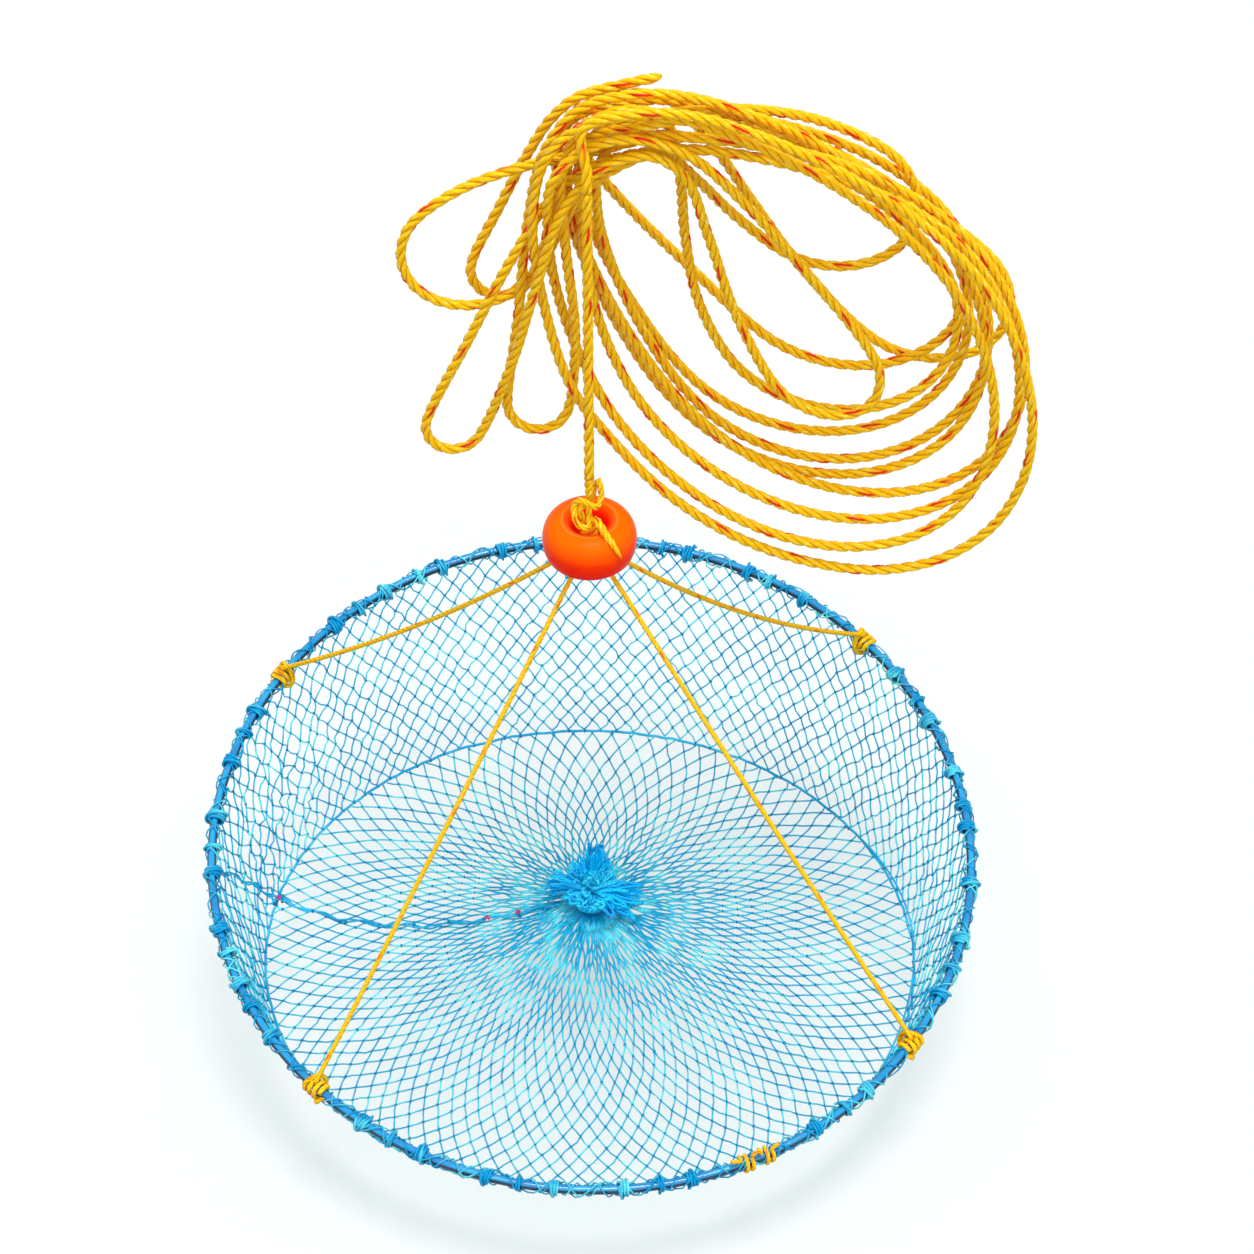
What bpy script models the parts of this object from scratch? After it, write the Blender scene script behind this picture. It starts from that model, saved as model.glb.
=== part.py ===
# Crab hoop net, hanging from the hand that holds its line.
# Metres, +Z up, +X to the right, +Y away from the viewer. The origin is in the grip, on the line's own axis.
# A steel hoop carries a knotted net, which is gathered in the middle. Four bridle lines run from the hoop
# through a ring float to the hauling line, and the rest of the line hangs in loops from the grip.

import math

import bmesh
import bpy
import numpy as np
from mathutils import Euler, Matrix, Vector

# Running clearances
SEAT_GAP = 0.0003
WINDING_GAP = 0.0006
HITCH_GAP = 0.0011
LIP_GAP = 0.0008
HITCH_PLAY = 0.0005

# Hoop: a steel rod bent to a ring, its back edge a little higher than its front edge
HOOP_RADIUS = 0.218
ROD_RADIUS = 0.0026
HOOP_FALL = 0.508
HOOP_SET_BACK = 0.00097
HOOP_TILT = math.radians(11.6)
HOOP_SIDE_TILT = math.radians(1.2)
ROD_SEGMENTS = 72
ROD_SIDES = 8

# Net: diamonds from the rim to a seam cord, then to the gather in the middle
MESHES_ROUND = 36
STRAND = 0.0012
SEAM_HALF_WIDTH = 0.187
SEAM_FRONT = 0.209
SEAM_BACK = 0.118
SEAM_DEPTH_BACK = 0.055
SEAM_DEPTH_FRONT = 0.015
SEAM_CORD_RADIUS = 0.001
SEAM_POINTS = 60
SKIRT_SAG = 0.004
BASE_SAG = 0.007
GATHER_DEPTH = 0.038
GATHER_SET_BACK = -0.011
BASE_RING_SHARES = (0.0, 0.30, 0.56, 0.79, 1.0)
SKIRT_RING_SHARES = (0.0, 0.34, 0.67, 1.0)

# Tuft: the gathered end of the net, standing above its tie
NECK_RADIUS = 0.0085
NECK_HEIGHT = 0.0115
TUFT_HEIGHT = 0.028
TUFT_REACH = 0.023
TUFT_LOBES = 7
TUFT_SIDES = 24
TUFT_RINGS = 18
TUFT_LOBE_SHARE = 0.16
TUFT_ROOT = 0.008
TIE_CORD_RADIUS = 0.0011
TIE_TURNS = 2

# Side seam: the lacing that closes the net from the rim to the gather
SIDE_SEAM_RIM_AZIMUTH = math.radians(184.6)
SIDE_SEAM_CROSSING_AZIMUTH = math.radians(167.0)
SIDE_SEAM_GATHER_AZIMUTH = math.radians(182.0)
SIDE_SEAM_RADIUS = 0.0007
SIDE_SEAM_POINTS = 18
SKIRT_SEAM_SHARE = 0.3

# Rim wraps: twine wound round the rod over the edge of the net
WRAP_TWINE = 0.0016
WRAP_WIDTH = 0.0052
WRAP_SIDES = 8

# Bridle lines and their hitches
BRIDLE_RADIUS = 0.0016
BRIDLE_TIES = (
    ("front_left", math.radians(226.0), 0.002),
    ("front_right", math.radians(325.3), 0.002),
    ("back_left", math.radians(147.2), 0.009),
    ("back_right", math.radians(42.8), 0.014),
)
BRIDLE_POINTS = 36
BRIDLE_SPREAD = 0.0032
HITCH_TURNS = 3
CURL_POINTS = 8
HITCH_STUB = 0.005
SPARE_TIE_AZIMUTHS = (math.radians(293.4), math.radians(296.6))
SPARE_TIE_TURNS = 2
SPARE_TIE_RADIUS = 0.0013

# Float: a hollow moulded ring with a dimple at each end of its bore
FLOAT_RADIUS = 0.0255
FLOAT_HEIGHT = 0.0275
FLOAT_BORE = 0.0090
FLOAT_DIMPLE_RADIUS = 0.0155
FLOAT_DIMPLE_DEPTH = 0.0070
FLOAT_FALL = 0.262
FLOAT_STEPS = 32
FLOAT_PROFILE_POINTS = 14
FLOAT_SQUARENESS = 2.15

# Hauling line: three-strand rope
ROPE_RADIUS = 0.003
LINE_EXIT_FALL = 0.030
LINE_STEP = 0.015
KNOT_PIVOT_FALL = 0.222
KNOT_CORD_RADIUS = 0.0021
KNOT_COIL_RADIUS = 0.0074
KNOT_TURNS = 2.2
KNOT_POINTS = 10
KNOT_TAIL_AZIMUTH = math.radians(-48)
KNOT_FOOT_FALL = 0.2485
KNOT_TAIL_CLEAR = 0.0022
GATHER_KNOT_RADIUS = 0.0058
GATHER_KNOT_HEIGHT = 0.008

# Hank: the loops of the line that hang from the grip, in the order in which the rope runs through them.
# Each loop leaves the grip, turns at its tip and comes back: length share, width share, lean in degrees
# from +X, how long its round tip is for its width, set-back share, the side of the grip that it comes back
# to (1 right, -1 left), steps round its tip, and points along each side.
LOOP_LENGTH = 0.367
LOOP_WIDTH = 0.215
LOOP_SET_BACK = 0.080
HANK_LOOP_SHARES = (
    (0.965, 1.03, -59.5, 1.5, 0.10, -1, 10, 4),
    (0.91, 0.92, -61, 1.5, 0.20, -1, 10, 4),
    (0.65, 0.26, -57, 1.4, 0.28, 1, 6, 3),
    (0.665, 0.145, -112.5, 1.2, 0.00, -1, 6, 3),
    (0.88, 0.97, -57, 1.4, 0.34, -1, 10, 4),
    (0.87, 0.86, -54.5, 1.4, 0.42, -1, 10, 4),
    (0.70, 0.60, -52, 1.2, 0.50, 1, 8, 4),
    (0.60, 0.145, -101.5, 1.2, 0.12, -1, 6, 3),
    (0.83, 0.82, -58, 1.3, 0.56, -1, 10, 4),
    (0.81, 0.84, -57, 1.2, 0.64, -1, 10, 4),
    (0.51, 0.34, -38, 1.2, 0.70, 1, 8, 3),
    (0.43, 0.30, -129.5, 1.1, 0.30, -1, 8, 3),
    (0.78, 0.78, -57, 1.2, 0.78, -1, 10, 4),
    (0.71, 0.60, -50, 1.2, 0.86, -1, 10, 4),
    (0.78, 0.40, -45, 1.2, 0.94, 1, 8, 4),
    (0.42, 0.15, -115, 1.1, 0.44, -1, 6, 3),
)
BUNDLE_COLUMNS = 4
BUNDLE_PITCH = 0.0074
BUNDLE_RIGHT = 0.014
BUNDLE_FRONT = 0.011
BUNDLE_HEIGHT = 0.0
BUNDLE_LEAN = math.radians(-70)
BUNDLE_SINK = math.radians(30)
PASS_HALF = 0.012
PASS_HANDLE_SHARE = 0.16
TIP_HANDLE_SHARE = 0.36
HANK_FREE_GAP = 0.0014
HANK_FRONT_CLEAR = 0.0012
FLOAT_SWING_CLEAR = 0.0060
HANK_ROUNDS = 600
HANK_END = 0.030


def principled(name, colour, roughness, metallic=0.0):
    """Return a plain material with this colour."""
    material = bpy.data.materials.new(name)
    material.use_nodes = True
    shader = material.node_tree.nodes["Principled BSDF"]
    shader.inputs["Base Color"].default_value = (*colour, 1.0)
    shader.inputs["Roughness"].default_value = roughness
    shader.inputs["Metallic"].default_value = metallic
    material.diffuse_color = (*colour, 1.0)
    return material


def clear_scene():
    for obj in list(bpy.data.objects):
        bpy.data.objects.remove(obj, do_unlink=True)


clear_scene()
net_collection = bpy.data.collections.new("crab_hoop_net")
bpy.context.scene.collection.children.link(net_collection)

ROPE_YELLOW = principled("polypropylene_yellow", (0.92, 0.62, 0.01), 0.45)
CORD_YELLOW = principled("bridle_cord_yellow", (0.90, 0.52, 0.01), 0.5)
FLOAT_ORANGE = principled("float_orange", (0.95, 0.10, 0.0), 0.28)
ROD_BLUE = principled("coated_steel_blue", (0.02, 0.22, 0.55), 0.25, 0.4)
TWINE_BLUE = principled("net_twine_blue", (0.02, 0.42, 0.75), 0.5)
TUFT_BLUE = principled("gathered_twine_blue", (0.01, 0.26, 0.80), 0.55)
LACING_BLUE = principled("seam_twine_blue", (0.01, 0.30, 0.62), 0.5)


def place(name, data, material, origin=(0.0, 0.0, 0.0), parent=None):
    """Put a mesh or curve in the scene as a named piece."""
    obj = bpy.data.objects.new(name, data)
    obj.data.materials.clear()
    obj.data.materials.append(material)
    net_collection.objects.link(obj)
    obj.parent = parent
    obj.location = origin
    return obj


def tube(name, points, radius, material, cyclic=False, resolution=1, origin=(0.0, 0.0, 0.0), parent=None, radii=None):
    """Return a round cord along these points, with closed ends."""
    curve = bpy.data.curves.new(name, "CURVE")
    curve.dimensions = "3D"
    curve.bevel_depth = radius
    curve.bevel_resolution = resolution
    curve.use_fill_caps = not cyclic
    spline = curve.splines.new("POLY")
    spline.points.add(len(points) - 1)
    base = Vector(origin)
    for index, point in enumerate(points):
        spline.points[index].co = (*(Vector(point) - base), 1.0)
        if radii is not None:
            spline.points[index].radius = radii[index]
    spline.use_cyclic_u = cyclic
    spline.use_smooth = True
    return place(name, curve, material, origin, parent)


def smooth_points(route, count):
    """Return this many points, evenly spaced on a smooth curve through the route."""
    route = np.asarray(route, float)
    ends = np.vstack([2 * route[0] - route[1], route, 2 * route[-1] - route[-2]])
    fine = []
    for i in range(1, len(ends) - 2):
        for t in np.arange(0.0, 1.0, 1 / 16):
            fine.append(
                (
                    2 * ends[i]
                    + (ends[i + 1] - ends[i - 1]) * t
                    + (2 * ends[i - 1] - 5 * ends[i] + 4 * ends[i + 1] - ends[i + 2]) * t**2
                    + (3 * ends[i] - ends[i - 1] - 3 * ends[i + 1] + ends[i + 2]) * t**3
                )
                / 2
            )
    fine = np.array([*fine, ends[-2]])
    run = np.r_[0.0, np.cumsum(np.linalg.norm(np.diff(fine, axis=0), axis=1))]
    at = np.linspace(0.0, run[-1], count)
    return np.stack([np.interp(at, run, fine[:, axis]) for axis in range(3)], axis=1)


def nearest(first, first_end, second, second_end):
    """Return where each pair of straight stretches comes closest, as shares along them, and how far apart."""
    one, two = first_end - first, second_end - second
    between = first - second
    a, e = (one * one).sum(-1), (two * two).sum(-1)
    b, c, f = (one * two).sum(-1), (one * between).sum(-1), (two * between).sum(-1)
    cross = a * e - b * b
    along = np.clip(np.where(cross > 0, (b * f - c * e) / np.where(cross > 0, cross, 1), 0), 0, 1)
    beside = np.clip((b * along + f) / e, 0, 1)
    along = np.clip((b * beside - c) / a, 0, 1)
    gap = between + one * along[..., None] - two * beside[..., None]
    return along, beside, gap, np.linalg.norm(gap, axis=-1)


def far_pairs(points, apart_along):
    """Return the pairs of stretches of a cord that lie at least this far from each other along it."""
    run = np.r_[0.0, np.cumsum(np.linalg.norm(np.diff(points, axis=0), axis=1))]
    first, second = np.triu_indices(len(points) - 1, 2)
    keep = run[second] - run[first + 1] > apart_along
    return first[keep], second[keep]


def least_gap(points, radius):
    """Return the least free gap between stretches of a cord that aren't neighbours along it."""
    points = np.asarray(points, float)
    first, second = far_pairs(points, 4 * radius)
    return float(nearest(points[first], points[first + 1], points[second], points[second + 1])[3].min()) - 2 * radius


# The frame that the hoop, its net and its wraps are modelled in
hoop_frame = bpy.data.objects.new("hoop_frame", None)
net_collection.objects.link(hoop_frame)
hoop_frame.location = (0.0, HOOP_SET_BACK, -HOOP_FALL)
hoop_frame.rotation_euler = (HOOP_TILT, HOOP_SIDE_TILT, 0.0)
HOOP_MATRIX = Matrix.Translation((0.0, HOOP_SET_BACK, -HOOP_FALL)) @ Euler((HOOP_TILT, HOOP_SIDE_TILT, 0.0)).to_matrix().to_4x4()


def rim_frame(azimuth):
    """Return the rod's centre here, with its outward, upward and lengthwise directions, in world space."""
    turn = HOOP_MATRIX.to_3x3()
    outward = turn @ Vector((math.cos(azimuth), math.sin(azimuth), 0.0))
    upward = turn @ Vector((0.0, 0.0, 1.0))
    along = turn @ Vector((-math.sin(azimuth), math.cos(azimuth), 0.0))
    centre = HOOP_MATRIX @ Vector((HOOP_RADIUS * math.cos(azimuth), HOOP_RADIUS * math.sin(azimuth), 0.0))
    return centre, outward, upward, along


def hoop_rod():
    bpy.ops.mesh.primitive_torus_add(
        major_radius=HOOP_RADIUS,
        minor_radius=ROD_RADIUS,
        major_segments=ROD_SEGMENTS,
        minor_segments=ROD_SIDES,
    )
    rod = bpy.context.object
    rod.name = "hoop_rod"
    for owner in list(rod.users_collection):
        owner.objects.unlink(rod)
    net_collection.objects.link(rod)
    rod.data.materials.append(ROD_BLUE)
    rod.data.shade_smooth()
    rod.parent = hoop_frame
    return rod


def seam_point(azimuth, outward=0.0):
    """Return a point of the seam cord's line in the hoop's frame, moved outward across it."""
    half_length = (SEAM_BACK + SEAM_FRONT) / 2
    shift = (SEAM_BACK - SEAM_FRONT) / 2
    depth = SEAM_DEPTH_FRONT + (SEAM_DEPTH_BACK - SEAM_DEPTH_FRONT) * math.sqrt((1 + math.sin(azimuth)) / 2)
    return Vector(
        (
            (SEAM_HALF_WIDTH + outward) * math.cos(azimuth),
            shift + (half_length + outward) * math.sin(azimuth),
            -depth,
        )
    )


def rim_point(azimuth):
    edge = HOOP_RADIUS - ROD_RADIUS - SEAT_GAP - STRAND / 2
    return Vector((edge * math.cos(azimuth), edge * math.sin(azimuth), 0.0))


def gather_point(azimuth):
    edge = NECK_RADIUS + SEAT_GAP + STRAND / 2
    return Vector((edge * math.cos(azimuth), GATHER_SET_BACK + edge * math.sin(azimuth), -GATHER_DEPTH))


def panel_point(first, second, share, sag):
    point = first.lerp(second, share)
    point.z -= sag * 4 * share * (1 - share)
    return point


SEAM_REACH = SEAM_CORD_RADIUS + SEAT_GAP + STRAND / 2


def skirt_point(azimuth, share):
    """Return a point of the net between the rim and the seam cord."""
    inner = seam_point(azimuth, SEAM_REACH)
    outer = rim_point(azimuth)
    slack = SKIRT_SAG * min(1.0, (outer - inner).length / (HOOP_RADIUS - SEAM_BACK))
    return panel_point(outer, inner, share, slack)


def base_point(azimuth, share):
    """Return a point of the net between the seam cord and the gather."""
    return panel_point(seam_point(azimuth, -SEAM_REACH), gather_point(azimuth), share, BASE_SAG)


def net_panel(name, point_at, ring_shares, first_half):
    """Return one panel of knotted diamonds, a strand along each bar."""
    mesh = bpy.data.meshes.new(name)
    bars = bmesh.new()
    pitch = 2 * math.pi / MESHES_ROUND
    rings = []
    for row, share in enumerate(ring_shares):
        half = ((row + first_half) % 2) / 2
        rings.append([bars.verts.new(point_at((index + half) * pitch, share)) for index in range(MESHES_ROUND)])
    for row in range(len(rings) - 2):
        late = (row + first_half) % 2
        for index in range(MESHES_ROUND):
            left = rings[row + 1][(index - 1 + late) % MESHES_ROUND]
            right = rings[row + 1][(index + late) % MESHES_ROUND]
            bars.faces.new((rings[row][index], left, rings[row + 2][index], right))
    bmesh.ops.recalc_face_normals(bars, faces=bars.faces)
    bars.to_mesh(mesh)
    bars.free()
    panel = place(name, mesh, TWINE_BLUE, parent=hoop_frame)
    strands = panel.modifiers.new("strands", "WIREFRAME")
    strands.thickness = STRAND
    strands.use_even_offset = False
    strands.use_boundary = True
    strands.use_replace = True
    return panel


def seam_cord():
    points = [seam_point(2 * math.pi * index / SEAM_POINTS) for index in range(SEAM_POINTS)]
    return tube("net_seam_cord", points, SEAM_CORD_RADIUS, LACING_BLUE, cyclic=True, parent=hoop_frame)


def side_seam():
    """The lacing lies on the net from the rim to the gather, and crosses over the seam cord."""
    lift = SEAM_CORD_RADIUS + SEAT_GAP + SIDE_SEAM_RADIUS
    route = []
    for index in range(1, SIDE_SEAM_POINTS):
        share = index / (SIDE_SEAM_POINTS - 1)
        if share < SKIRT_SEAM_SHARE:
            part = share / SKIRT_SEAM_SHARE
            azimuth = SIDE_SEAM_RIM_AZIMUTH + (SIDE_SEAM_CROSSING_AZIMUTH - SIDE_SEAM_RIM_AZIMUTH) * part
            point = skirt_point(azimuth, part) - Vector((math.cos(azimuth), math.sin(azimuth), 0.0)) * lift
        else:
            part = (share - SKIRT_SEAM_SHARE) / (1 - SKIRT_SEAM_SHARE)
            azimuth = SIDE_SEAM_CROSSING_AZIMUTH + (SIDE_SEAM_GATHER_AZIMUTH - SIDE_SEAM_CROSSING_AZIMUTH) * part
            point = base_point(azimuth, part)
        point.z += lift
        route.append(point)
    route[-1] += Vector((math.cos(azimuth), math.sin(azimuth), 0.0)) * (TIE_CORD_RADIUS + STRAND)
    return tube("net_side_seam", route, SIDE_SEAM_RADIUS, LACING_BLUE, parent=hoop_frame)


def tuft():
    """The net's gathered end: a tied neck, with the loose loops spread in lobes above it."""
    bpy.ops.mesh.primitive_uv_sphere_add(segments=TUFT_SIDES, ring_count=TUFT_RINGS, radius=1.0)
    obj = bpy.context.object
    obj.name = "net_tuft"
    for owner in list(obj.users_collection):
        owner.objects.unlink(obj)
    net_collection.objects.link(obj)
    whole = TUFT_ROOT + NECK_HEIGHT + TUFT_HEIGHT
    neck_low = TUFT_ROOT / whole
    neck_high = (TUFT_ROOT + NECK_HEIGHT) / whole
    for vertex in obj.data.vertices:
        x, y, z = vertex.co
        height = math.acos(max(-1.0, min(1.0, -z))) / math.pi
        turn = math.atan2(y, x)
        if height <= neck_low:
            reach = NECK_RADIUS * math.sin(math.pi / 2 * height / neck_low)
        elif height <= neck_high:
            reach = NECK_RADIUS
        else:
            rise = (height - neck_high) / (1 - neck_high)
            swell = math.sin(math.pi * min(1.0, rise) ** 0.8)
            lobes = 1 + TUFT_LOBE_SHARE * math.cos(TUFT_LOBES * turn + 1.3) * swell
            reach = (NECK_RADIUS * (1 - rise) + (TUFT_REACH - NECK_RADIUS / 2) * swell) * lobes
        flat = math.hypot(x, y)
        vertex.co.x = reach * (x / flat) if flat > 0 else 0.0
        vertex.co.y = reach * (y / flat) if flat > 0 else 0.0
        vertex.co.z = whole * height
    obj.data.shade_smooth()
    obj.data.materials.append(TUFT_BLUE)
    obj.parent = hoop_frame
    obj.location = (0.0, GATHER_SET_BACK, -GATHER_DEPTH - TUFT_ROOT)
    return obj


def tuft_tie():
    """Two turns of cord round the neck of the tuft."""
    coil = NECK_RADIUS + SEAT_GAP + TIE_CORD_RADIUS
    rise = 2 * TIE_CORD_RADIUS + WINDING_GAP
    base = -GATHER_DEPTH + STRAND + SEAT_GAP + TIE_CORD_RADIUS
    points = []
    for index in range(TIE_TURNS * 12 + 1):
        turn = 2 * math.pi * index / 12
        points.append(
            Vector(
                (
                    coil * math.cos(turn),
                    GATHER_SET_BACK + coil * math.sin(turn),
                    base + rise * index / 12,
                )
            )
        )
    print(f"net_tuft_tie least gap {least_gap(points, TIE_CORD_RADIUS) * 1000:.2f} mm")
    return tube("net_tuft_tie", points, TIE_CORD_RADIUS, TUFT_BLUE, parent=hoop_frame)


def rim_wraps():
    """Short windings of twine round the rod, between the tips of the net where no cord is tied."""
    inner = ROD_RADIUS + SEAT_GAP
    outer = inner + WRAP_TWINE
    half = WRAP_WIDTH / 2
    profile = [(outer, half / 2), (outer, -half / 2), (inner, -half), (inner, half)]
    mesh = bpy.data.meshes.new("rim_wrap")
    mesh.from_pydata(
        [(radius, 0.0, along) for radius, along in profile],
        [(index, (index + 1) % len(profile)) for index in range(len(profile))],
        [],
    )
    pitch = 2 * math.pi / MESHES_ROUND
    ties = [azimuth for side, azimuth, sag in BRIDLE_TIES] + [sum(SPARE_TIE_AZIMUTHS) / 2]
    middles = [pitch * (index + 0.5) for index in range(MESHES_ROUND)]
    free = [middle for middle in middles if min(abs(middle - tie) for tie in ties) > pitch / 2]
    for index, azimuth in enumerate(free):
        wrap = place(f"rim_wrap_{index + 1:02d}", mesh, TWINE_BLUE, parent=hoop_frame)
        wrap.location = (HOOP_RADIUS * math.cos(azimuth), HOOP_RADIUS * math.sin(azimuth), 0.0)
        wrap.rotation_euler = (math.pi / 2, 0.0, azimuth)
        turned = wrap.modifiers.new("turned", "SCREW")
        turned.steps = WRAP_SIDES
        turned.render_steps = WRAP_SIDES
        turned.use_merge_vertices = True
        turned.merge_threshold = SEAT_GAP / 10


def winding(centre, outward, upward, along, radius, turns, pitch, start):
    """Return the points of a few turns round the rod."""
    points = []
    count = round(turns * CURL_POINTS)
    for index in range(count + 1):
        turn = start + 2 * math.pi * index / CURL_POINTS
        shift = pitch * (index / CURL_POINTS - turns / 2)
        points.append(centre + outward * radius * math.cos(turn) + upward * radius * math.sin(turn) + along * shift)
    return points


COIL_ON_ROD = ROD_RADIUS + HITCH_PLAY + BRIDLE_RADIUS
COIL_PITCH = 2 * BRIDLE_RADIUS + HITCH_GAP
FLOAT_BOTTOM = -FLOAT_FALL - FLOAT_HEIGHT / 2
FLOAT_TOP = -FLOAT_FALL + FLOAT_HEIGHT / 2


def bridle_head(azimuth):
    """Return where a bridle leaves the gather knot, inside the float's bore."""
    top = -KNOT_FOOT_FALL - KNOT_CORD_RADIUS - SEAT_GAP - GATHER_KNOT_HEIGHT - SEAT_GAP
    return Vector((BRIDLE_SPREAD * math.cos(azimuth), BRIDLE_SPREAD * math.sin(azimuth), top))


def float_lip_pass(heading, target):
    """Return where a bridle line touches the rounded lip of the bore on its way to the target."""
    across = FLOAT_DIMPLE_RADIUS - FLOAT_BORE
    run = math.hypot(target.x, target.y) - FLOAT_BORE
    slope = math.atan2(FLOAT_BOTTOM - target.z, run)
    inward, downward = math.sin(slope), math.cos(slope)
    size = math.hypot(across * inward, FLOAT_DIMPLE_DEPTH * downward)
    off = BRIDLE_RADIUS + LIP_GAP
    radius = FLOAT_DIMPLE_RADIUS - across**2 * inward / size - off * inward
    height = FLOAT_BOTTOM + FLOAT_DIMPLE_DEPTH - FLOAT_DIMPLE_DEPTH**2 * downward / size - off * downward
    return Vector((radius * math.cos(heading), radius * math.sin(heading), height))


def bridle_and_hitch(side, azimuth, sag):
    """A bridle line from the float's bore to the rod, and the hitch that ties it there."""
    centre, outward, upward, along = rim_frame(azimuth)
    heading = math.atan2(centre.y, centre.x)
    head = bridle_head(heading)
    mouth = float_lip_pass(heading, centre - Vector((0.0, 0.0, 4 * sag)))
    lift = (mouth - centre).normalized()
    rise = math.atan2(lift.dot(upward), lift.dot(outward))
    start = rise - math.pi / 2 - 2 * math.pi * HITCH_TURNS
    turns = winding(centre, outward, upward, along, COIL_ON_ROD, HITCH_TURNS, COIL_PITCH, start)
    tip = turns[-1] + lift * 2 * BRIDLE_RADIUS
    stub = turns[0] + (outward * math.sin(start) - upward * math.cos(start)) * HITCH_STUB
    hitch = [stub, *turns, tip]
    print(f"hitch_{side} least gap {least_gap(hitch, BRIDLE_RADIUS) * 1000:.2f} mm")
    tube(f"hitch_{side}", hitch, BRIDLE_RADIUS, CORD_YELLOW, origin=centre)
    foot = tip + lift * SEAT_GAP
    waist = head.lerp(mouth, 0.5)
    waist.z -= FLOAT_DIMPLE_DEPTH / 4
    route = [head, waist, mouth]
    knees = 14
    for index in range(1, knees + 1):
        share = index / knees
        point = mouth.lerp(foot, share)
        point.z -= sag * 4 * share * (1 - share)
        route.append(point)
    points = smooth_points(route, BRIDLE_POINTS)
    return tube(f"bridle_{side}", points, BRIDLE_RADIUS, CORD_YELLOW, resolution=2, origin=foot)


def spare_tie():
    """A fifth cord on the front rim: two short windings joined by a bridge over the wrap between them."""
    first, second = (rim_frame(azimuth) for azimuth in SPARE_TIE_AZIMUTHS)
    reach = ROD_RADIUS + HITCH_PLAY + SPARE_TIE_RADIUS
    pitch = 2 * SPARE_TIE_RADIUS + HITCH_GAP
    one = winding(*first, reach, SPARE_TIE_TURNS, pitch, math.pi / 2)
    two = winding(*second, reach, SPARE_TIE_TURNS, pitch, math.pi / 2)
    over = 2 * SPARE_TIE_RADIUS + WRAP_TWINE
    bridge = [point + first[2] * over for point in (one[-1].lerp(two[0], 0.25), one[-1].lerp(two[0], 0.75))]
    stub = one[0] - first[3] * HITCH_STUB + first[2] * HITCH_STUB / 2
    points = [stub, *one, *bridge, *two]
    print(f"spare_tie least gap {least_gap(points, SPARE_TIE_RADIUS) * 1000:.2f} mm")
    return tube("spare_tie", points, SPARE_TIE_RADIUS, CORD_YELLOW, origin=first[0])


def ring_float():
    """A turned float: full rounded outside, a dimple at each end, and a straight bore."""
    half = FLOAT_HEIGHT / 2
    outside = []
    for index in range(FLOAT_PROFILE_POINTS + 1):
        turn = math.pi / 2 - math.pi * index / FLOAT_PROFILE_POINTS
        bulge = FLOAT_RADIUS - FLOAT_DIMPLE_RADIUS
        across = math.copysign(abs(math.cos(turn)) ** (2 / FLOAT_SQUARENESS), math.cos(turn))
        height = math.copysign(abs(math.sin(turn)) ** (2 / FLOAT_SQUARENESS), math.sin(turn))
        outside.append((FLOAT_DIMPLE_RADIUS + bulge * across, half * height))
    bore = []
    for sign in (-1, 1):
        corner = [
            (FLOAT_BORE + (FLOAT_DIMPLE_RADIUS - FLOAT_BORE) * (1 - math.sin(turn)), half - FLOAT_DIMPLE_DEPTH * (1 - math.cos(turn)))
            for turn in (math.pi / 6, math.pi / 3, math.pi / 2)
        ]
        bore += [(radius, sign * height) for radius, height in (corner if sign < 0 else reversed(corner))]
    profile = outside + bore
    mesh = bpy.data.meshes.new("float")
    mesh.from_pydata(
        [(radius, 0.0, height) for radius, height in profile],
        [(index, (index + 1) % len(profile)) for index in range(len(profile))],
        [],
    )
    ring = place("float", mesh, FLOAT_ORANGE, (0.0, 0.0, -FLOAT_FALL))
    turned = ring.modifiers.new("turned", "SCREW")
    turned.steps = FLOAT_STEPS
    turned.render_steps = FLOAT_STEPS
    turned.use_merge_vertices = True
    turned.merge_threshold = SEAT_GAP / 10
    return ring


def round_end(height, sign):
    """Return the heights and radius shares of a cord's round end, whose middle is at this height."""
    turns = [math.radians(angle) for angle in (87, 60, 30)]
    return [(height + sign * ROPE_RADIUS * math.sin(turn), math.cos(turn)) for turn in turns]


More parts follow.
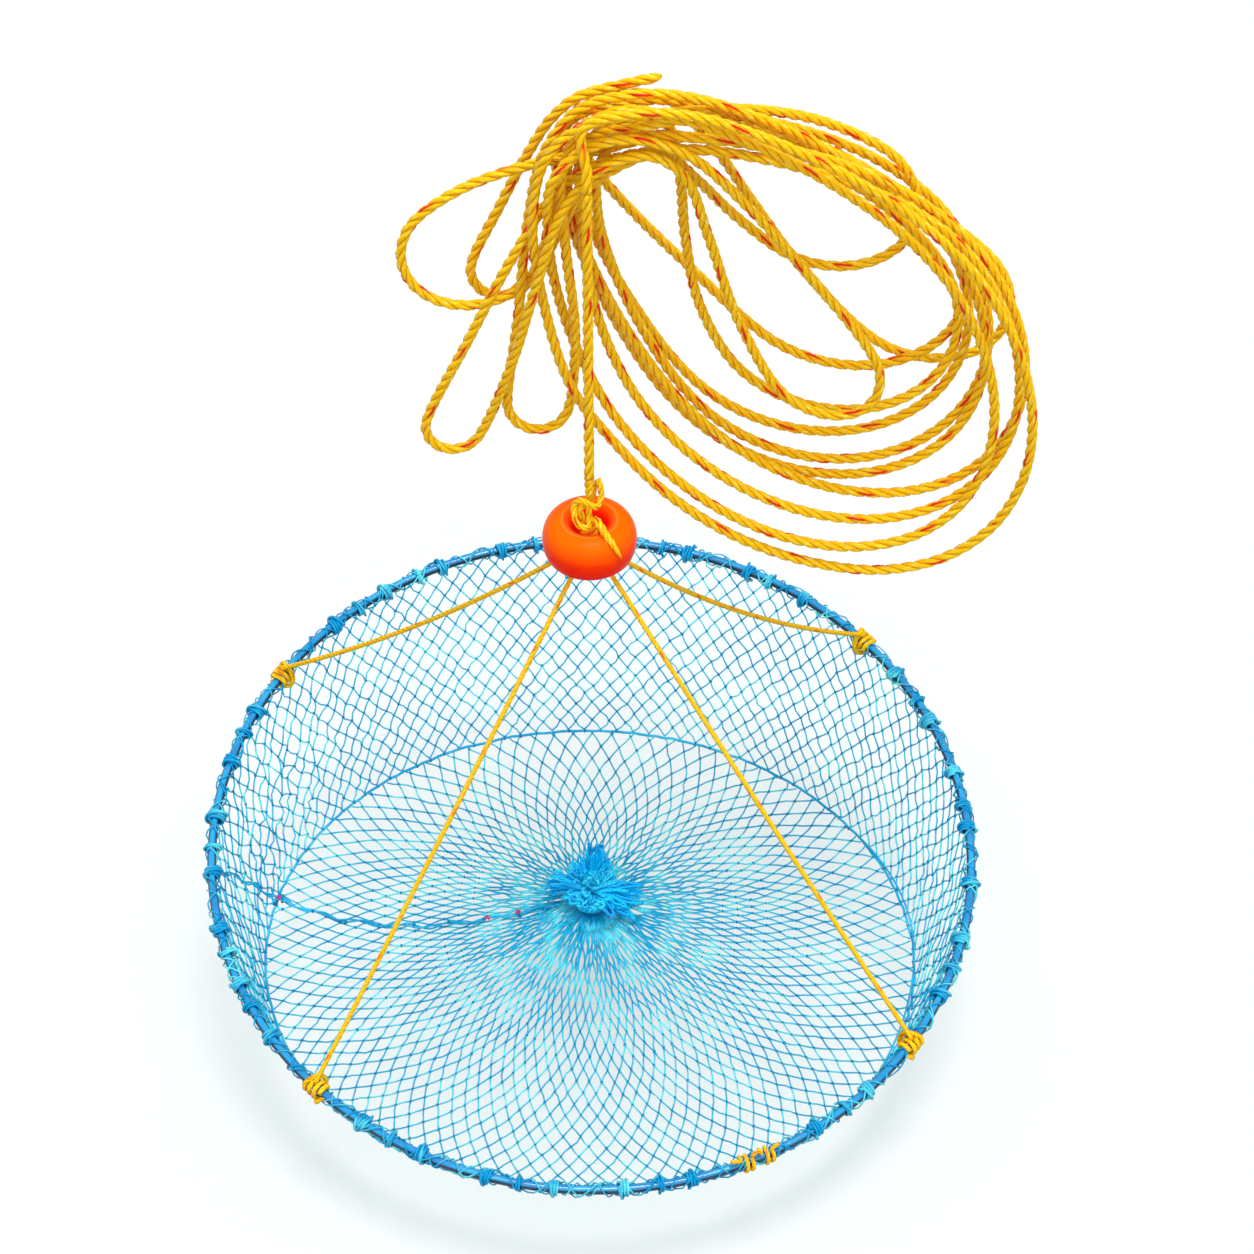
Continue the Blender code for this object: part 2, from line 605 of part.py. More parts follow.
def line_knot():
    """The line's end: down beside the gather, two turns up round itself, and a tail laid on the float."""
    foot = -KNOT_FOOT_FALL
    rise = 2 * KNOT_CORD_RADIUS + WINDING_GAP
    thin = KNOT_CORD_RADIUS / ROPE_RADIUS
    route = [(Vector((0.0, 0.0, height)), share) for height, share in round_end(-KNOT_PIVOT_FALL, 1)]
    route.append((Vector((0.0, 0.0, -KNOT_PIVOT_FALL)), 1.0))
    route.append((Vector((0.0, 0.0, (foot - KNOT_PIVOT_FALL) / 2)), 1.0))
    route.append((Vector((0.0, 0.0, foot + rise / 2)), (1 + thin) / 2))
    start = KNOT_TAIL_AZIMUTH - math.pi / 3 - 2 * math.pi * KNOT_TURNS
    step = Vector((math.cos(start), math.sin(start), 0.0)) * KNOT_COIL_RADIUS / 2
    route.append((step + Vector((0.0, 0.0, foot)), thin))
    count = round(KNOT_TURNS * KNOT_POINTS)
    for index in range(count + 1):
        turn = start + 2 * math.pi * index / KNOT_POINTS
        height = foot + rise * index / KNOT_POINTS
        route.append((Vector((KNOT_COIL_RADIUS * math.cos(turn), KNOT_COIL_RADIUS * math.sin(turn), height)), thin))
    away = Vector((math.cos(KNOT_TAIL_AZIMUTH), math.sin(KNOT_TAIL_AZIMUTH), 0.0))
    shelf = FLOAT_TOP + KNOT_CORD_RADIUS + KNOT_TAIL_CLEAR
    bend = away * (KNOT_COIL_RADIUS + 2 * KNOT_CORD_RADIUS) + Vector((0.0, 0.0, height + WINDING_GAP))
    route.append((bend, thin))
    route.append((away * FLOAT_DIMPLE_RADIUS + Vector((0.0, 0.0, shelf)), thin))
    route.append((away * (FLOAT_RADIUS - KNOT_CORD_RADIUS) + Vector((0.0, 0.0, shelf - 2 * KNOT_CORD_RADIUS)), thin / 2))
    points = [point for point, share in route]
    radii = [share for point, share in route]
    print(f"line_knot least gap {least_gap(points[6:], KNOT_CORD_RADIUS) * 1000:.2f} mm")
    return tube("line_knot", points, ROPE_RADIUS, ROPE_YELLOW, resolution=2, origin=points[3], radii=radii)


def gather_knot():
    """The stopper in the bore that joins the four bridle lines to the line's knot."""
    top = -KNOT_FOOT_FALL - KNOT_CORD_RADIUS - SEAT_GAP
    half = GATHER_KNOT_HEIGHT / 2
    profile = []
    for index in range(9):
        turn = math.pi / 2 - math.pi * index / 8
        profile.append((GATHER_KNOT_RADIUS * math.cos(turn) ** 0.6 if 0 < index < 8 else 0.0, half * math.sin(turn)))
    mesh = bpy.data.meshes.new("bridle_gather_knot")
    mesh.from_pydata(
        [(radius, 0.0, height) for radius, height in profile],
        [(index, index + 1) for index in range(len(profile) - 1)],
        [],
    )
    knot = place("bridle_gather_knot", mesh, CORD_YELLOW, (0.0, 0.0, top - half))
    turned = knot.modifiers.new("turned", "SCREW")
    turned.steps = 12
    turned.render_steps = 12
    turned.use_merge_vertices = True
    turned.merge_threshold = SEAT_GAP / 10
    return knot


def hauling_line():
    """The free stretch of the line, from the grip to the knot."""
    top = -LINE_EXIT_FALL
    bottom = -KNOT_PIVOT_FALL + ROPE_RADIUS + SEAT_GAP
    count = round((top - bottom) / LINE_STEP) + 1
    route = round_end(top, 1)
    route += [(top + (bottom - top) * index / (count - 1), 1.0) for index in range(count)]
    points = [Vector((0.0, 0.0, height)) for height, share in route]
    radii = [share for height, share in route]
    return tube("hauling_line", points, ROPE_RADIUS, ROPE_YELLOW, resolution=2, origin=points[3], radii=radii)


def passage(order):
    """Return the middle of one pass of the rope through the bundle that the hand holds."""
    row, column = divmod(order, BUNDLE_COLUMNS)
    if row % 2:
        column = BUNDLE_COLUMNS - 1 - column
    across = (column - (BUNDLE_COLUMNS - 1) / 2) * BUNDLE_PITCH
    return np.array(
        [
            BUNDLE_RIGHT + across * math.cos(BUNDLE_LEAN),
            BUNDLE_FRONT + row * BUNDLE_PITCH * math.cos(BUNDLE_SINK),
            BUNDLE_HEIGHT - row * BUNDLE_PITCH * math.sin(BUNDLE_SINK) + across * math.sin(BUNDLE_LEAN),
        ]
    )


def side_of_loop(start, start_way, start_share, end, end_way, end_share, count):
    """Return the points between a pass and a loop's tip, on a curve that leaves each along its own direction."""
    reach = np.linalg.norm(end - start)
    first, second = start + start_way * reach * start_share, end - end_way * reach * end_share
    points = []
    for index in range(1, count + 1):
        t = index / (count + 1)
        point = (1 - t) ** 3 * start + 3 * t * (1 - t) ** 2 * first + 3 * t**2 * (1 - t) * second + t**3 * end
        points.append(point)
    return points


def hank_loop(leave, leave_way, back, back_way, length, width, lean, tip_shape, set_back, tip_steps, side_count):
    """Return one loop: out from its pass in the bundle, round its tip, and back to the next pass."""
    down = np.array([math.cos(lean), 0.0, math.sin(lean)])
    side = np.array([-math.sin(lean), 0.0, math.cos(lean)])
    half = width / 2
    middle = down * (length - half * tip_shape) + np.array([BUNDLE_RIGHT, BUNDLE_FRONT + set_back, BUNDLE_HEIGHT])
    tip = []
    for index in range(tip_steps + 1):
        turn = math.pi * index / tip_steps
        tip.append(middle + side * half * math.cos(turn) + down * half * tip_shape * math.sin(turn))
    return [
        *side_of_loop(leave, leave_way, PASS_HANDLE_SHARE, tip[0], down, TIP_HANDLE_SHARE, side_count),
        *tip,
        *side_of_loop(tip[-1], -down, TIP_HANDLE_SHARE, back, back_way, PASS_HANDLE_SHARE, side_count),
    ]


def settle(points, clear, rounds):
    """Push the turns of a rope apart until they lie clear of each other, and keep its curve smooth."""
    start = np.array(points)
    shift = np.zeros_like(start)
    held = np.ones((len(start), 1))
    held[:3] = 0.0
    for turn in range(rounds):
        now = start + shift
        if turn % 10 == 0:
            one, two = far_pairs(now, 4 * ROPE_RADIUS)
            close = nearest(now[one], now[one + 1], now[two], now[two + 1])[3] < clear + BUNDLE_PITCH
            one, two = one[close], two[close]
        along, beside, between, apart = nearest(now[one], now[one + 1], now[two], now[two + 1])
        push = between / np.maximum(apart, SEAT_GAP)[:, None] * np.maximum(clear - apart, 0.0)[:, None] / 2
        force = np.zeros_like(start)
        for order, share, sign in ((one, along, 1), (two, beside, -1)):
            np.add.at(force, order, sign * push * (1 - share)[:, None])
            np.add.at(force, order + 1, sign * push * share[:, None])
        shift += held * force
        if turn < rounds - 10:
            smooth = (shift[:-2] + shift[2:]) / 2 - shift[1:-1]
            shift[1:-1] += held[1:-1] * smooth / 16
        now = start + shift
        front = np.full(len(start), 2 * ROPE_RADIUS + HANK_FRONT_CLEAR)
        low = (now[:, 2] < -KNOT_PIVOT_FALL + FLOAT_RADIUS) & (np.abs(now[:, 0]) < FLOAT_FALL / 2)
        front[low] = FLOAT_RADIUS + ROPE_RADIUS + FLOAT_SWING_CLEAR
        short = np.maximum(front - now[:, 1], 0.0)
        shift[:, 1] += held[:, 0] * short / 2
    return start + shift


def hank_points():
    top = -LINE_EXIT_FALL + ROPE_RADIUS + SEAT_GAP
    points = [
        np.array([0.0, 0.0, top]),
        np.array([0.0, 0.0, top + 2 * ROPE_RADIUS]),
        np.array([0.0, ROPE_RADIUS / 2, top + 4 * ROPE_RADIUS]),
    ]
    out = np.array([-math.sin(BUNDLE_LEAN), 0.0, math.cos(BUNDLE_LEAN)])
    way = 1
    points.append(passage(0) - out * PASS_HALF)
    for order, row in enumerate(HANK_LOOP_SHARES):
        length, width, lean, tip_shape, set_back, back_side, tip_steps, side_count = row
        leave = passage(order) + out * PASS_HALF * way
        back = passage(order + 1) + out * PASS_HALF * back_side
        loop = hank_loop(
            leave,
            out * way,
            back,
            -out * back_side,
            length * LOOP_LENGTH,
            width * LOOP_WIDTH,
            math.radians(lean),
            tip_shape,
            set_back * LOOP_SET_BACK,
            tip_steps,
            side_count,
        )
        points += [leave, *loop, back]
        way = -back_side
    last = passage(len(HANK_LOOP_SHARES))
    points += [last + out * PASS_HALF, last + out * HANK_END]
    return settle(points, 2 * ROPE_RADIUS + HANK_FREE_GAP, HANK_ROUNDS)


def line_hank():
    points = hank_points()
    length = np.linalg.norm(np.diff(points, axis=0), axis=1).sum()
    print(f"line_hank length {length:.2f} m, least gap {least_gap(points, ROPE_RADIUS) * 1000:.2f} mm")
    return tube("line_hank", [Vector(point) for point in points], ROPE_RADIUS, ROPE_YELLOW, origin=points[0])


hoop_rod()
net_panel("net_skirt", skirt_point, SKIRT_RING_SHARES, 0)
net_panel("net_base", base_point, BASE_RING_SHARES, 0)
seam_cord()
side_seam()
tuft()
tuft_tie()
rim_wraps()
for tie in BRIDLE_TIES:
    bridle_and_hitch(*tie)
spare_tie()
ring_float()
gather_knot()
line_knot()
hauling_line()
line_hank()
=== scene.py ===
import math
import random

import bpy
import numpy as np
from mathutils import Euler, Matrix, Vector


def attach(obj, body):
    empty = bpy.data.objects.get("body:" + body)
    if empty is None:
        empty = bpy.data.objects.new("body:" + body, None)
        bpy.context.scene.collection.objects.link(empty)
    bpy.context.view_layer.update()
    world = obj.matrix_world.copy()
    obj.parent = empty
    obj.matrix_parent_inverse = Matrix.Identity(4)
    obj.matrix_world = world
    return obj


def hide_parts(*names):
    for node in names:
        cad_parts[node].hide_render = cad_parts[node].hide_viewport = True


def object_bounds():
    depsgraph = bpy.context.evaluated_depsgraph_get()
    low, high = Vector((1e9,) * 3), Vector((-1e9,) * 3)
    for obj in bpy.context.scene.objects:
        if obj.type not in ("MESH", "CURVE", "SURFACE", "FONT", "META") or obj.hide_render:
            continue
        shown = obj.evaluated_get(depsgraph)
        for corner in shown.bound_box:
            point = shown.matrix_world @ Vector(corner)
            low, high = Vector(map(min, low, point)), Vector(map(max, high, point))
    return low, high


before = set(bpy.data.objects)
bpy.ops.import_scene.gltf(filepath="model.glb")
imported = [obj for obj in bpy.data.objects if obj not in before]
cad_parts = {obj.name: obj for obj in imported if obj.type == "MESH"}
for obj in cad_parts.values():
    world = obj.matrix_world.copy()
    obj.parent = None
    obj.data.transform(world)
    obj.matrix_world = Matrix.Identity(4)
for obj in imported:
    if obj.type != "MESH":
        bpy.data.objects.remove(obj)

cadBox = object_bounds()  # the solids' own box, which sets the floor's height
dice = random.Random(11)


def linear(hexColour):
    out = []
    for at in (1, 3, 5):
        part = int(hexColour[at:at + 2], 16) / 255
        out.append(part / 12.92 if part <= 0.04045 else ((part + 0.055) / 1.055) ** 2.4)
    return (*out, 1.0)


def feed(tree, socket, value):
    # a node gives its first output in use, a socket itself, and anything else is a plain value
    if isinstance(value, bpy.types.Node):
        value = next(output for output in value.outputs if output.enabled)
    if isinstance(value, bpy.types.NodeSocket):
        tree.links.new(value, socket)
    else:
        socket.default_value = value


def add(tree, kind, inputs=(), **settings):
    # one node, with its inputs in their order, or by name or number.
    # A map range takes the value, from low, from high, to low and to high
    node = tree.nodes.new("ShaderNode" + kind)
    for setting, value in settings.items():
        setattr(node, setting, value)
    for socket, value in inputs.items() if isinstance(inputs, dict) else enumerate(inputs):
        feed(tree, node.inputs[socket], value)
    return node


def startMaterial(name, settings):
    material = bpy.data.materials.new(name)
    material.use_nodes = True
    shader = material.node_tree.nodes["Principled BSDF"]
    for socket, value in settings.items():
        shader.inputs[socket].default_value = value
    return material, material.node_tree, shader


def finishPiece(obj, material, body, slotName, *nodes):
    obj.data.materials.clear()
    obj.data.materials.append(material)
    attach(obj, body)
    if nodes:
        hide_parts(*nodes)
    return obj


# camera and studio
studio = {
    "cameraPlace": (0.0201, -1.7806, 1.3909),
    "cameraTurn": math.radians(46),
    "lens": 129.93,
    "floorSize": 16.0,
    "floorBelow": 0.045,  # under the lowest twine, so that the tilted net stays above it
    "skyStrength": 0.62,
    "paper": ("#A4A4A4", "#A8A8A8"),
    "paperGlow": 0.50,
    "paperShade": (0.88, 1.0, 1.0, 1.0),  # a little blue, as the light under the net is
    "mottle": 3.0,  # a cloud in about a third of a metre
    "lamps": {  # strength, spread and turn in degrees
        "overhead": (2.0, 20, (5, 5, 0)),
        "frontFill": (0.9, 60, (46, 8, 0)),
    },
}
cameraData = bpy.data.cameras.new("camera")
cameraData.lens = studio["lens"]
camera = bpy.data.objects.new("camera", cameraData)
camera.location = studio["cameraPlace"]
camera.rotation_euler = (studio["cameraTurn"], 0.0, 0.0)
bpy.context.scene.collection.objects.link(camera)
bpy.context.scene.camera = camera
bpy.context.scene.view_settings.view_transform = "Standard"

world = bpy.data.worlds.new("softSky")
bpy.context.scene.world = world
world.use_nodes = True
sky = world.node_tree.nodes["Background"]
sky.inputs["Color"].default_value = (1.0, 1.0, 1.0, 1.0)


def toEye(tree):
    # 1 for what the camera sees, straight, mirrored or through something clear, and 0 for light on the object
    seen = add(tree, "LightPath").outputs
    either = add(tree, "Math", [seen["Is Camera Ray"], seen["Is Glossy Ray"]], operation="MAXIMUM")
    return add(tree, "Math", [either, seen["Is Transmission Ray"]], operation="MAXIMUM")


skyTree = world.node_tree
skyLevel = add(skyTree, "MapRange", [toEye(skyTree), 0.0, 1.0, studio["skyStrength"], 1.0])
feed(skyTree, sky.inputs["Strength"], skyLevel)

for lampName, (strength, spread, turn) in studio["lamps"].items():
    lampData = bpy.data.lights.new(lampName, "SUN")
    lampData.energy = strength
    lampData.angle = math.radians(spread)
    lamp = bpy.data.objects.new(lampName, lampData)
    lamp.rotation_euler = [math.radians(value) for value in turn]
    bpy.context.scene.collection.objects.link(lamp)

bpy.ops.object.select_all(action="DESELECT")
floorHeight = cadBox[0][2] - studio["floorBelow"]
bpy.ops.mesh.primitive_plane_add(size=studio["floorSize"], location=(0.0, 0.0, floorHeight))
floor = bpy.context.object
floor.name = "paperFloor"
bpy.ops.object.transform_apply(location=True, rotation=True, scale=True)
# seamless paper: white and flat to the eye
paper, tree, shader = startMaterial("mattPaper", {"Roughness": 0.9, "Emission Color": studio["paperShade"]})
mottle = add(tree, "TexNoise", {"Vector": add(tree, "TexCoord").outputs["Object"], "Scale": studio["mottle"]})
one, two = [linear(colour) for colour in studio["paper"]]
feed(tree, shader.inputs["Base Color"], add(tree, "Mix", {0: mottle, 6: one, 7: two}, data_type="RGBA"))
glow = add(tree, "Math", [toEye(tree), studio["paperGlow"]], operation="MULTIPLY")
feed(tree, shader.inputs["Emission Strength"], glow)
floor.data.materials.append(paper)
print("studio ready")


# cords: routes, carried frames and swept tubes
def smoothRoute(points, step):
    points = np.asarray(points, float)
    ends = np.vstack([2 * points[0] - points[1], points, 2 * points[-1] - points[-2]])
    fine = []
    for i in range(1, len(ends) - 2):
        before, here, there, after = ends[i - 1:i + 3]
        t1 = np.linalg.norm(here - before) ** 0.5
        t2 = t1 + np.linalg.norm(there - here) ** 0.5
        t3 = t2 + np.linalg.norm(after - there) ** 0.5
        t = np.linspace(t1, t2, 13)[:-1, None]
        a1 = (t1 - t) / t1 * before + t / t1 * here
        a2 = (t2 - t) / (t2 - t1) * here + (t - t1) / (t2 - t1) * there
        a3 = (t3 - t) / (t3 - t2) * there + (t - t2) / (t3 - t2) * after
        b1 = (t2 - t) / t2 * a1 + t / t2 * a2
        b2 = (t3 - t) / (t3 - t1) * a2 + (t - t1) / (t3 - t1) * a3
        fine.append((t2 - t) / (t2 - t1) * b1 + (t - t1) / (t2 - t1) * b2)
    fine = np.vstack([*fine, points[-1:]])
    run = runOf(fine)
    at = np.linspace(0, run[-1], max(3, round(run[-1] / step) + 1))
    return np.stack([np.interp(at, run, fine[:, axis]) for axis in range(3)], axis=1)


def runOf(route):
    return np.r_[0.0, np.cumsum(np.linalg.norm(np.diff(route, axis=0), axis=1))]


def unit(vectors):
    return vectors / np.linalg.norm(vectors, axis=-1, keepdims=True)


def onCircle(reach, azimuth, height=0.0):
    return np.array([reach * math.cos(azimuth), reach * math.sin(azimuth), height])


def hump(value, middle, width):
    # 1 at the middle, falling smoothly to nothing about two widths away
    return math.exp(-((value - middle) / width) ** 2)


def carriedFrames(route, closed=False):
    # a direction to one side, carried along the route without a twist
    if closed:
        tangent = unit(np.roll(route, -1, axis=0) - np.roll(route, 1, axis=0))
    else:
        tangent = unit(np.gradient(route, axis=0))
    side = np.empty_like(route)
    last = np.array([1.0, 0.0, 0.0])
    if abs(last @ tangent[0]) > 0.9:
        last = np.array([0.0, 1.0, 0.0])
    for i, way in enumerate(tangent):
        last = last - way * (last @ way)
        last /= np.linalg.norm(last)
        side[i] = last
    return tangent, side, np.cross(tangent, side)


def roundOutline(sides):
    turn = 2 * np.pi * np.arange(sides) / sides
    return np.stack([np.cos(turn), np.sin(turn)], axis=1)


def tube(route, radius, sides=6, closed=False, tag=0.0, spin=260.0):
    # one round cord: rings along a route. Spin is the turns of its twist in a metre, for the uv
    route = np.asarray(route, float)
    tangent, side, up = carriedFrames(route, closed=closed)
    reach = np.broadcast_to(np.asarray(radius, float), (len(route),))
    turn = np.arange(sides + 1)[None] / sides + spin * runOf(route)[:, None]
    return {"centres": route, "one": side, "two": up, "reach": reach, "outline": roundOutline(sides),
            "turn": turn, "closed": closed, "tag": tag, "crown": np.ones(sides)}


def ringMesh(name, tubes, knots=None):
    verts, faces, uvs, tags, crowns = [], [], [], [], []
    base = 0
    for piece in tubes:
        centres, outline = piece["centres"], piece["outline"]
        count, sides = len(centres), len(outline)
        across = piece["one"][:, None] * outline[None, :, :1] + piece["two"][:, None] * outline[None, :, 1:]
        points = centres[:, None] + piece["reach"][:, None, None] * across
        verts.append(points.reshape(-1, 3))
        tags.append(np.full(count * sides, piece["tag"]))
        crowns.append(np.tile(piece["crown"], count))
        i = np.arange(count if piece["closed"] else count - 1)[:, None]
        j = np.arange(sides)[None]
        nextRing, nextSide = (i + 1) % count, (j + 1) % sides
        here, there = i * sides, nextRing * sides
        quads = np.stack([here + j, here + nextSide, there + nextSide, there + j], axis=-1)
        faces += (quads.reshape(-1, 4) + base).tolist()
        run = runOf(centres)
        ahead = np.append(run, run[-1] + (run[-1] - run[-2]))
        turn = np.vstack([piece["turn"], piece["turn"][:1]]) if piece["closed"] else piece["turn"]
        u = np.stack([turn[i, j], turn[i, j + 1], turn[i + 1, j + 1], turn[i + 1, j]], axis=-1)
        ring = i + 0 * j
        v = np.stack([ahead[ring], ahead[ring], ahead[ring + 1], ahead[ring + 1]], axis=-1)
        uvs.append(np.stack([u, v], axis=-1).reshape(-1, 2))
        if not piece["closed"]:
            ring = np.arange(sides)
            faces += [(base + ring[::-1]).tolist(), (base + (count - 1) * sides + ring).tolist()]
            uvs.append(np.column_stack([piece["turn"][0, ring[::-1]], np.full(sides, run[0])]))
            uvs.append(np.column_stack([piece["turn"][-1, ring], np.full(sides, run[-1])]))
        base += count * sides
    if knots is not None:
        knotVerts, knotFaces = knots
        verts.append(knotVerts)
        faces += (knotFaces + base).tolist()
        uvs.append(np.tile([[0.1, 0.0], [0.3, 0.0], [0.2, 0.001]], (len(knotFaces), 1)))
        tags.append(np.ones(len(knotVerts)))
        crowns.append(np.ones(len(knotVerts)))
    mesh = bpy.data.meshes.new(name)
    mesh.from_pydata(np.vstack(verts).tolist(), [], faces)
    mesh.uv_layers.new(name="lay").data.foreach_set("uv", np.vstack(uvs).ravel())
    for layer, values in (("strandTag", tags), ("crown", crowns)):
        mesh.attributes.new(layer, "FLOAT", "POINT").data.foreach_set("value", np.concatenate(values))
    mesh.shade_smooth()
    mesh.update()
    obj = bpy.data.objects.new(name, mesh)
    bpy.context.scene.collection.objects.link(obj)
    return obj


def laidRope(route, cord, fine=False, phase=0.0, scale=None):
    # three strands laid right-handed round a route, each flattened a little against the others
    tangent, side, up = carriedFrames(route)
    run = runOf(route)
    scale = np.ones(len(route)) if scale is None else np.asarray(scale, float)
    angles = np.radians((0, 36, 74, 118, 180, 242, 286, 324) if fine else (0, 55, 115, 180, 245, 305))
    outline = np.stack([np.cos(angles), np.sin(angles)], axis=1)
    offset, strand = cord["diameter"] * cord["relief"], cord["diameter"] * (0.5 - cord["relief"])
    slant = math.atan(2 * math.pi * offset / cord["pitch"])
    strands = []
    for number in range(3):
        theta = (phase + 2 * np.pi * number / 3 + 2 * np.pi * run / cord["pitch"])[:, None]
        outward = np.cos(theta) * side + np.sin(theta) * up
        around = np.cos(theta) * up - np.sin(theta) * side
        across = around * math.cos(slant) - tangent * math.sin(slant)
        yarns = (cord["yarnRate"] * run / cord["pitch"])[:, None]
        turn = np.append(angles, 2 * np.pi)[None] / (2 * np.pi) + yarns + number * 0.37  # none alike
        # crown is 1 on the outside of a strand and 0 where it meets the others; the rope's painted groove
        # shade follows it
        strands.append({"centres": route + outward * (offset * scale)[:, None], "one": outward, "two": across,
                        "reach": strand * scale, "outline": outline, "turn": turn, "closed": False,
                        "tag": float(number), "crown": (1 + np.cos(angles)) / 2})
    return strands


# the rope's finish
ropeLook = {
    "yellow": "#FFC600",
    "light": "#FFEA24",
    "worn": "#FFF4A8",
    # painted shade between the yarns
    "deep": "#FFA800",
    # painted shade in the grooves between the strands
    "grooveShade": "#B44800",
    "tint": "#FF9008",
    "tracer": "#E4300C",
    "fades": {  # where on its pattern a colour begins and is full, and its most
        "light": (0.48, 0.66, 1.0),
        "worn": (0.62, 0.74, 0.8),
        "deep": (0.4, 0.0, 0.5),
        "grooveShade": (0.66, 0.25, 0.85),
    },
    "yarnsRound": 9,
    "streaksRound": 8.0,
    "streakRate": 130.0,  # in a metre, so one in about 8 mm
    "tracerRate": 22.0,  # in a metre: the tracer comes and goes in about 45 mm
    "tracerCut": 0.40,
    "tracerShare": 0.085,  # of the way round one strand
    "haloShare": 2.2,  # of the tracer's width
    "haloMost": 0.55,
    "roughness": 0.42,
    "gloss": 0.16,
    "relief": (0.35, 0.0003),  # strength and depth
}


def ropeMaterial(name, look):
    gloss = {"Roughness": look["roughness"], "Specular IOR Level": look["gloss"]}
    material, tree, shader = startMaterial(name, gloss)
    around, along = add(tree, "SeparateXYZ", [add(tree, "UVMap", uv_map="lay")]).outputs[:2]
    tag, crown = [add(tree, "Attribute", attribute_name=layer).outputs["Fac"]
                  for layer in ("strandTag", "crown")]
    turn, streakTurn, streakRun, broadRun = [
        add(tree, "Math", [way, rate], operation="MULTIPLY")
        for way, rate in ((around, 2 * math.pi * look["yarnsRound"]), (around, look["streaksRound"]),
                          (along, look["streakRate"]), (along, look["tracerRate"]))]
    yarn = add(tree, "MapRange", [add(tree, "Math", [turn], operation="SINE"), -1.0, 1.0])
    streakAt, broadAt = [add(tree, "CombineXYZ", ways)
                         for ways in ([streakTurn, streakRun, tag], [broadRun, tag])]
    streak = add(tree, "TexNoise", {"Vector": streakAt, "Scale": 1.0, "Detail": 3.0})
    broad = add(tree, "TexNoise", {"Vector": broadAt, "Scale": 1.0, "Detail": 1.0})
    away = around
    for operation in ("FRACT", "SUBTRACT", "ABSOLUTE"):  # how far from half way round the strand
        away = add(tree, "Math", [away, 0.5], operation=operation)
    first = add(tree, "Math", [tag, 0.5], operation="LESS_THAN")
    here = add(tree, "MapRange", [broad, look["tracerCut"], look["tracerCut"] + 0.05])
    marked = add(tree, "Math", [first, here], operation="MULTIPLY")
    wide = look["tracerShare"]
    halo = add(tree, "MapRange", [away, wide * look["haloShare"], wide, 0.0, look["haloMost"]])
    line = add(tree, "MapRange", [away, wide, wide * 0.75])
    skin = linear(look["yellow"])
    # the deep colour is painted shade between the yarns, and the groove colour is painted shade between the
    # strands
    for pattern, layer in ((streak, "light"), (streak, "worn"), (yarn, "deep"), (crown, "grooveShade")):
        low, high, most = look["fades"][layer]
        share = add(tree, "MapRange", [pattern, low, high, 0.0, most])
        skin = add(tree, "Mix", {0: share, 6: skin, 7: linear(look[layer])}, data_type="RGBA")
    for pattern, layer in ((halo, "tint"), (line, "tracer")):
        share = add(tree, "Math", [pattern, marked], operation="MULTIPLY")
        skin = add(tree, "Mix", {0: share, 6: skin, 7: linear(look[layer])}, data_type="RGBA")
    strength, depth = look["relief"]
    height = add(tree, "Math", [yarn, streak], operation="ADD")
    relief = add(tree, "Bump", {"Height": height, "Strength": strength, "Distance": depth})
    feed(tree, shader.inputs["Base Color"], skin)
    feed(tree, shader.inputs["Normal"], relief)
    return material


# laid polypropylene of split film: satin and bright, its yarns plain to see, with a red marker yarn, and
# painted shade between its strands and between its yarns
polypropyleneRope = ropeMaterial("polypropyleneRope", ropeLook)

rope = {
    "diameter": 0.006,
    "pitch": 0.0245,
    "yarnRate": 1.55,
    "relief": 0.225,  # how far the strands lie from the middle, as a share of the diameter
    "stepsPerPitch": 9,
    "join": -0.0267,  # where the hanging line leaves the bundle
    "middle": -0.12,
    "knotTop": -0.222,
    "aboveKnot": 0.0033,
}
ropeStep = rope["pitch"] / rope["stepsPerPitch"]

# the float: a turned, moulded ring with a dimple at each end and a parting ridge low down.
# Its sizes come before the hank and the bridles, which keep clear of it
floatShape = {
    "radius": 0.0255,
    "height": 0.0275,
    "bore": 0.0090,
    "dimpleRadius": 0.0155,
    "dimpleDepth": 0.0070,
    "fall": 0.262,
    "squareness": 2.15,
    "ridgeHeight": -0.0088,
    "ridgeSize": 0.00035,
    "ridgeWidth": 0.0006,
    "steps": 96,
}

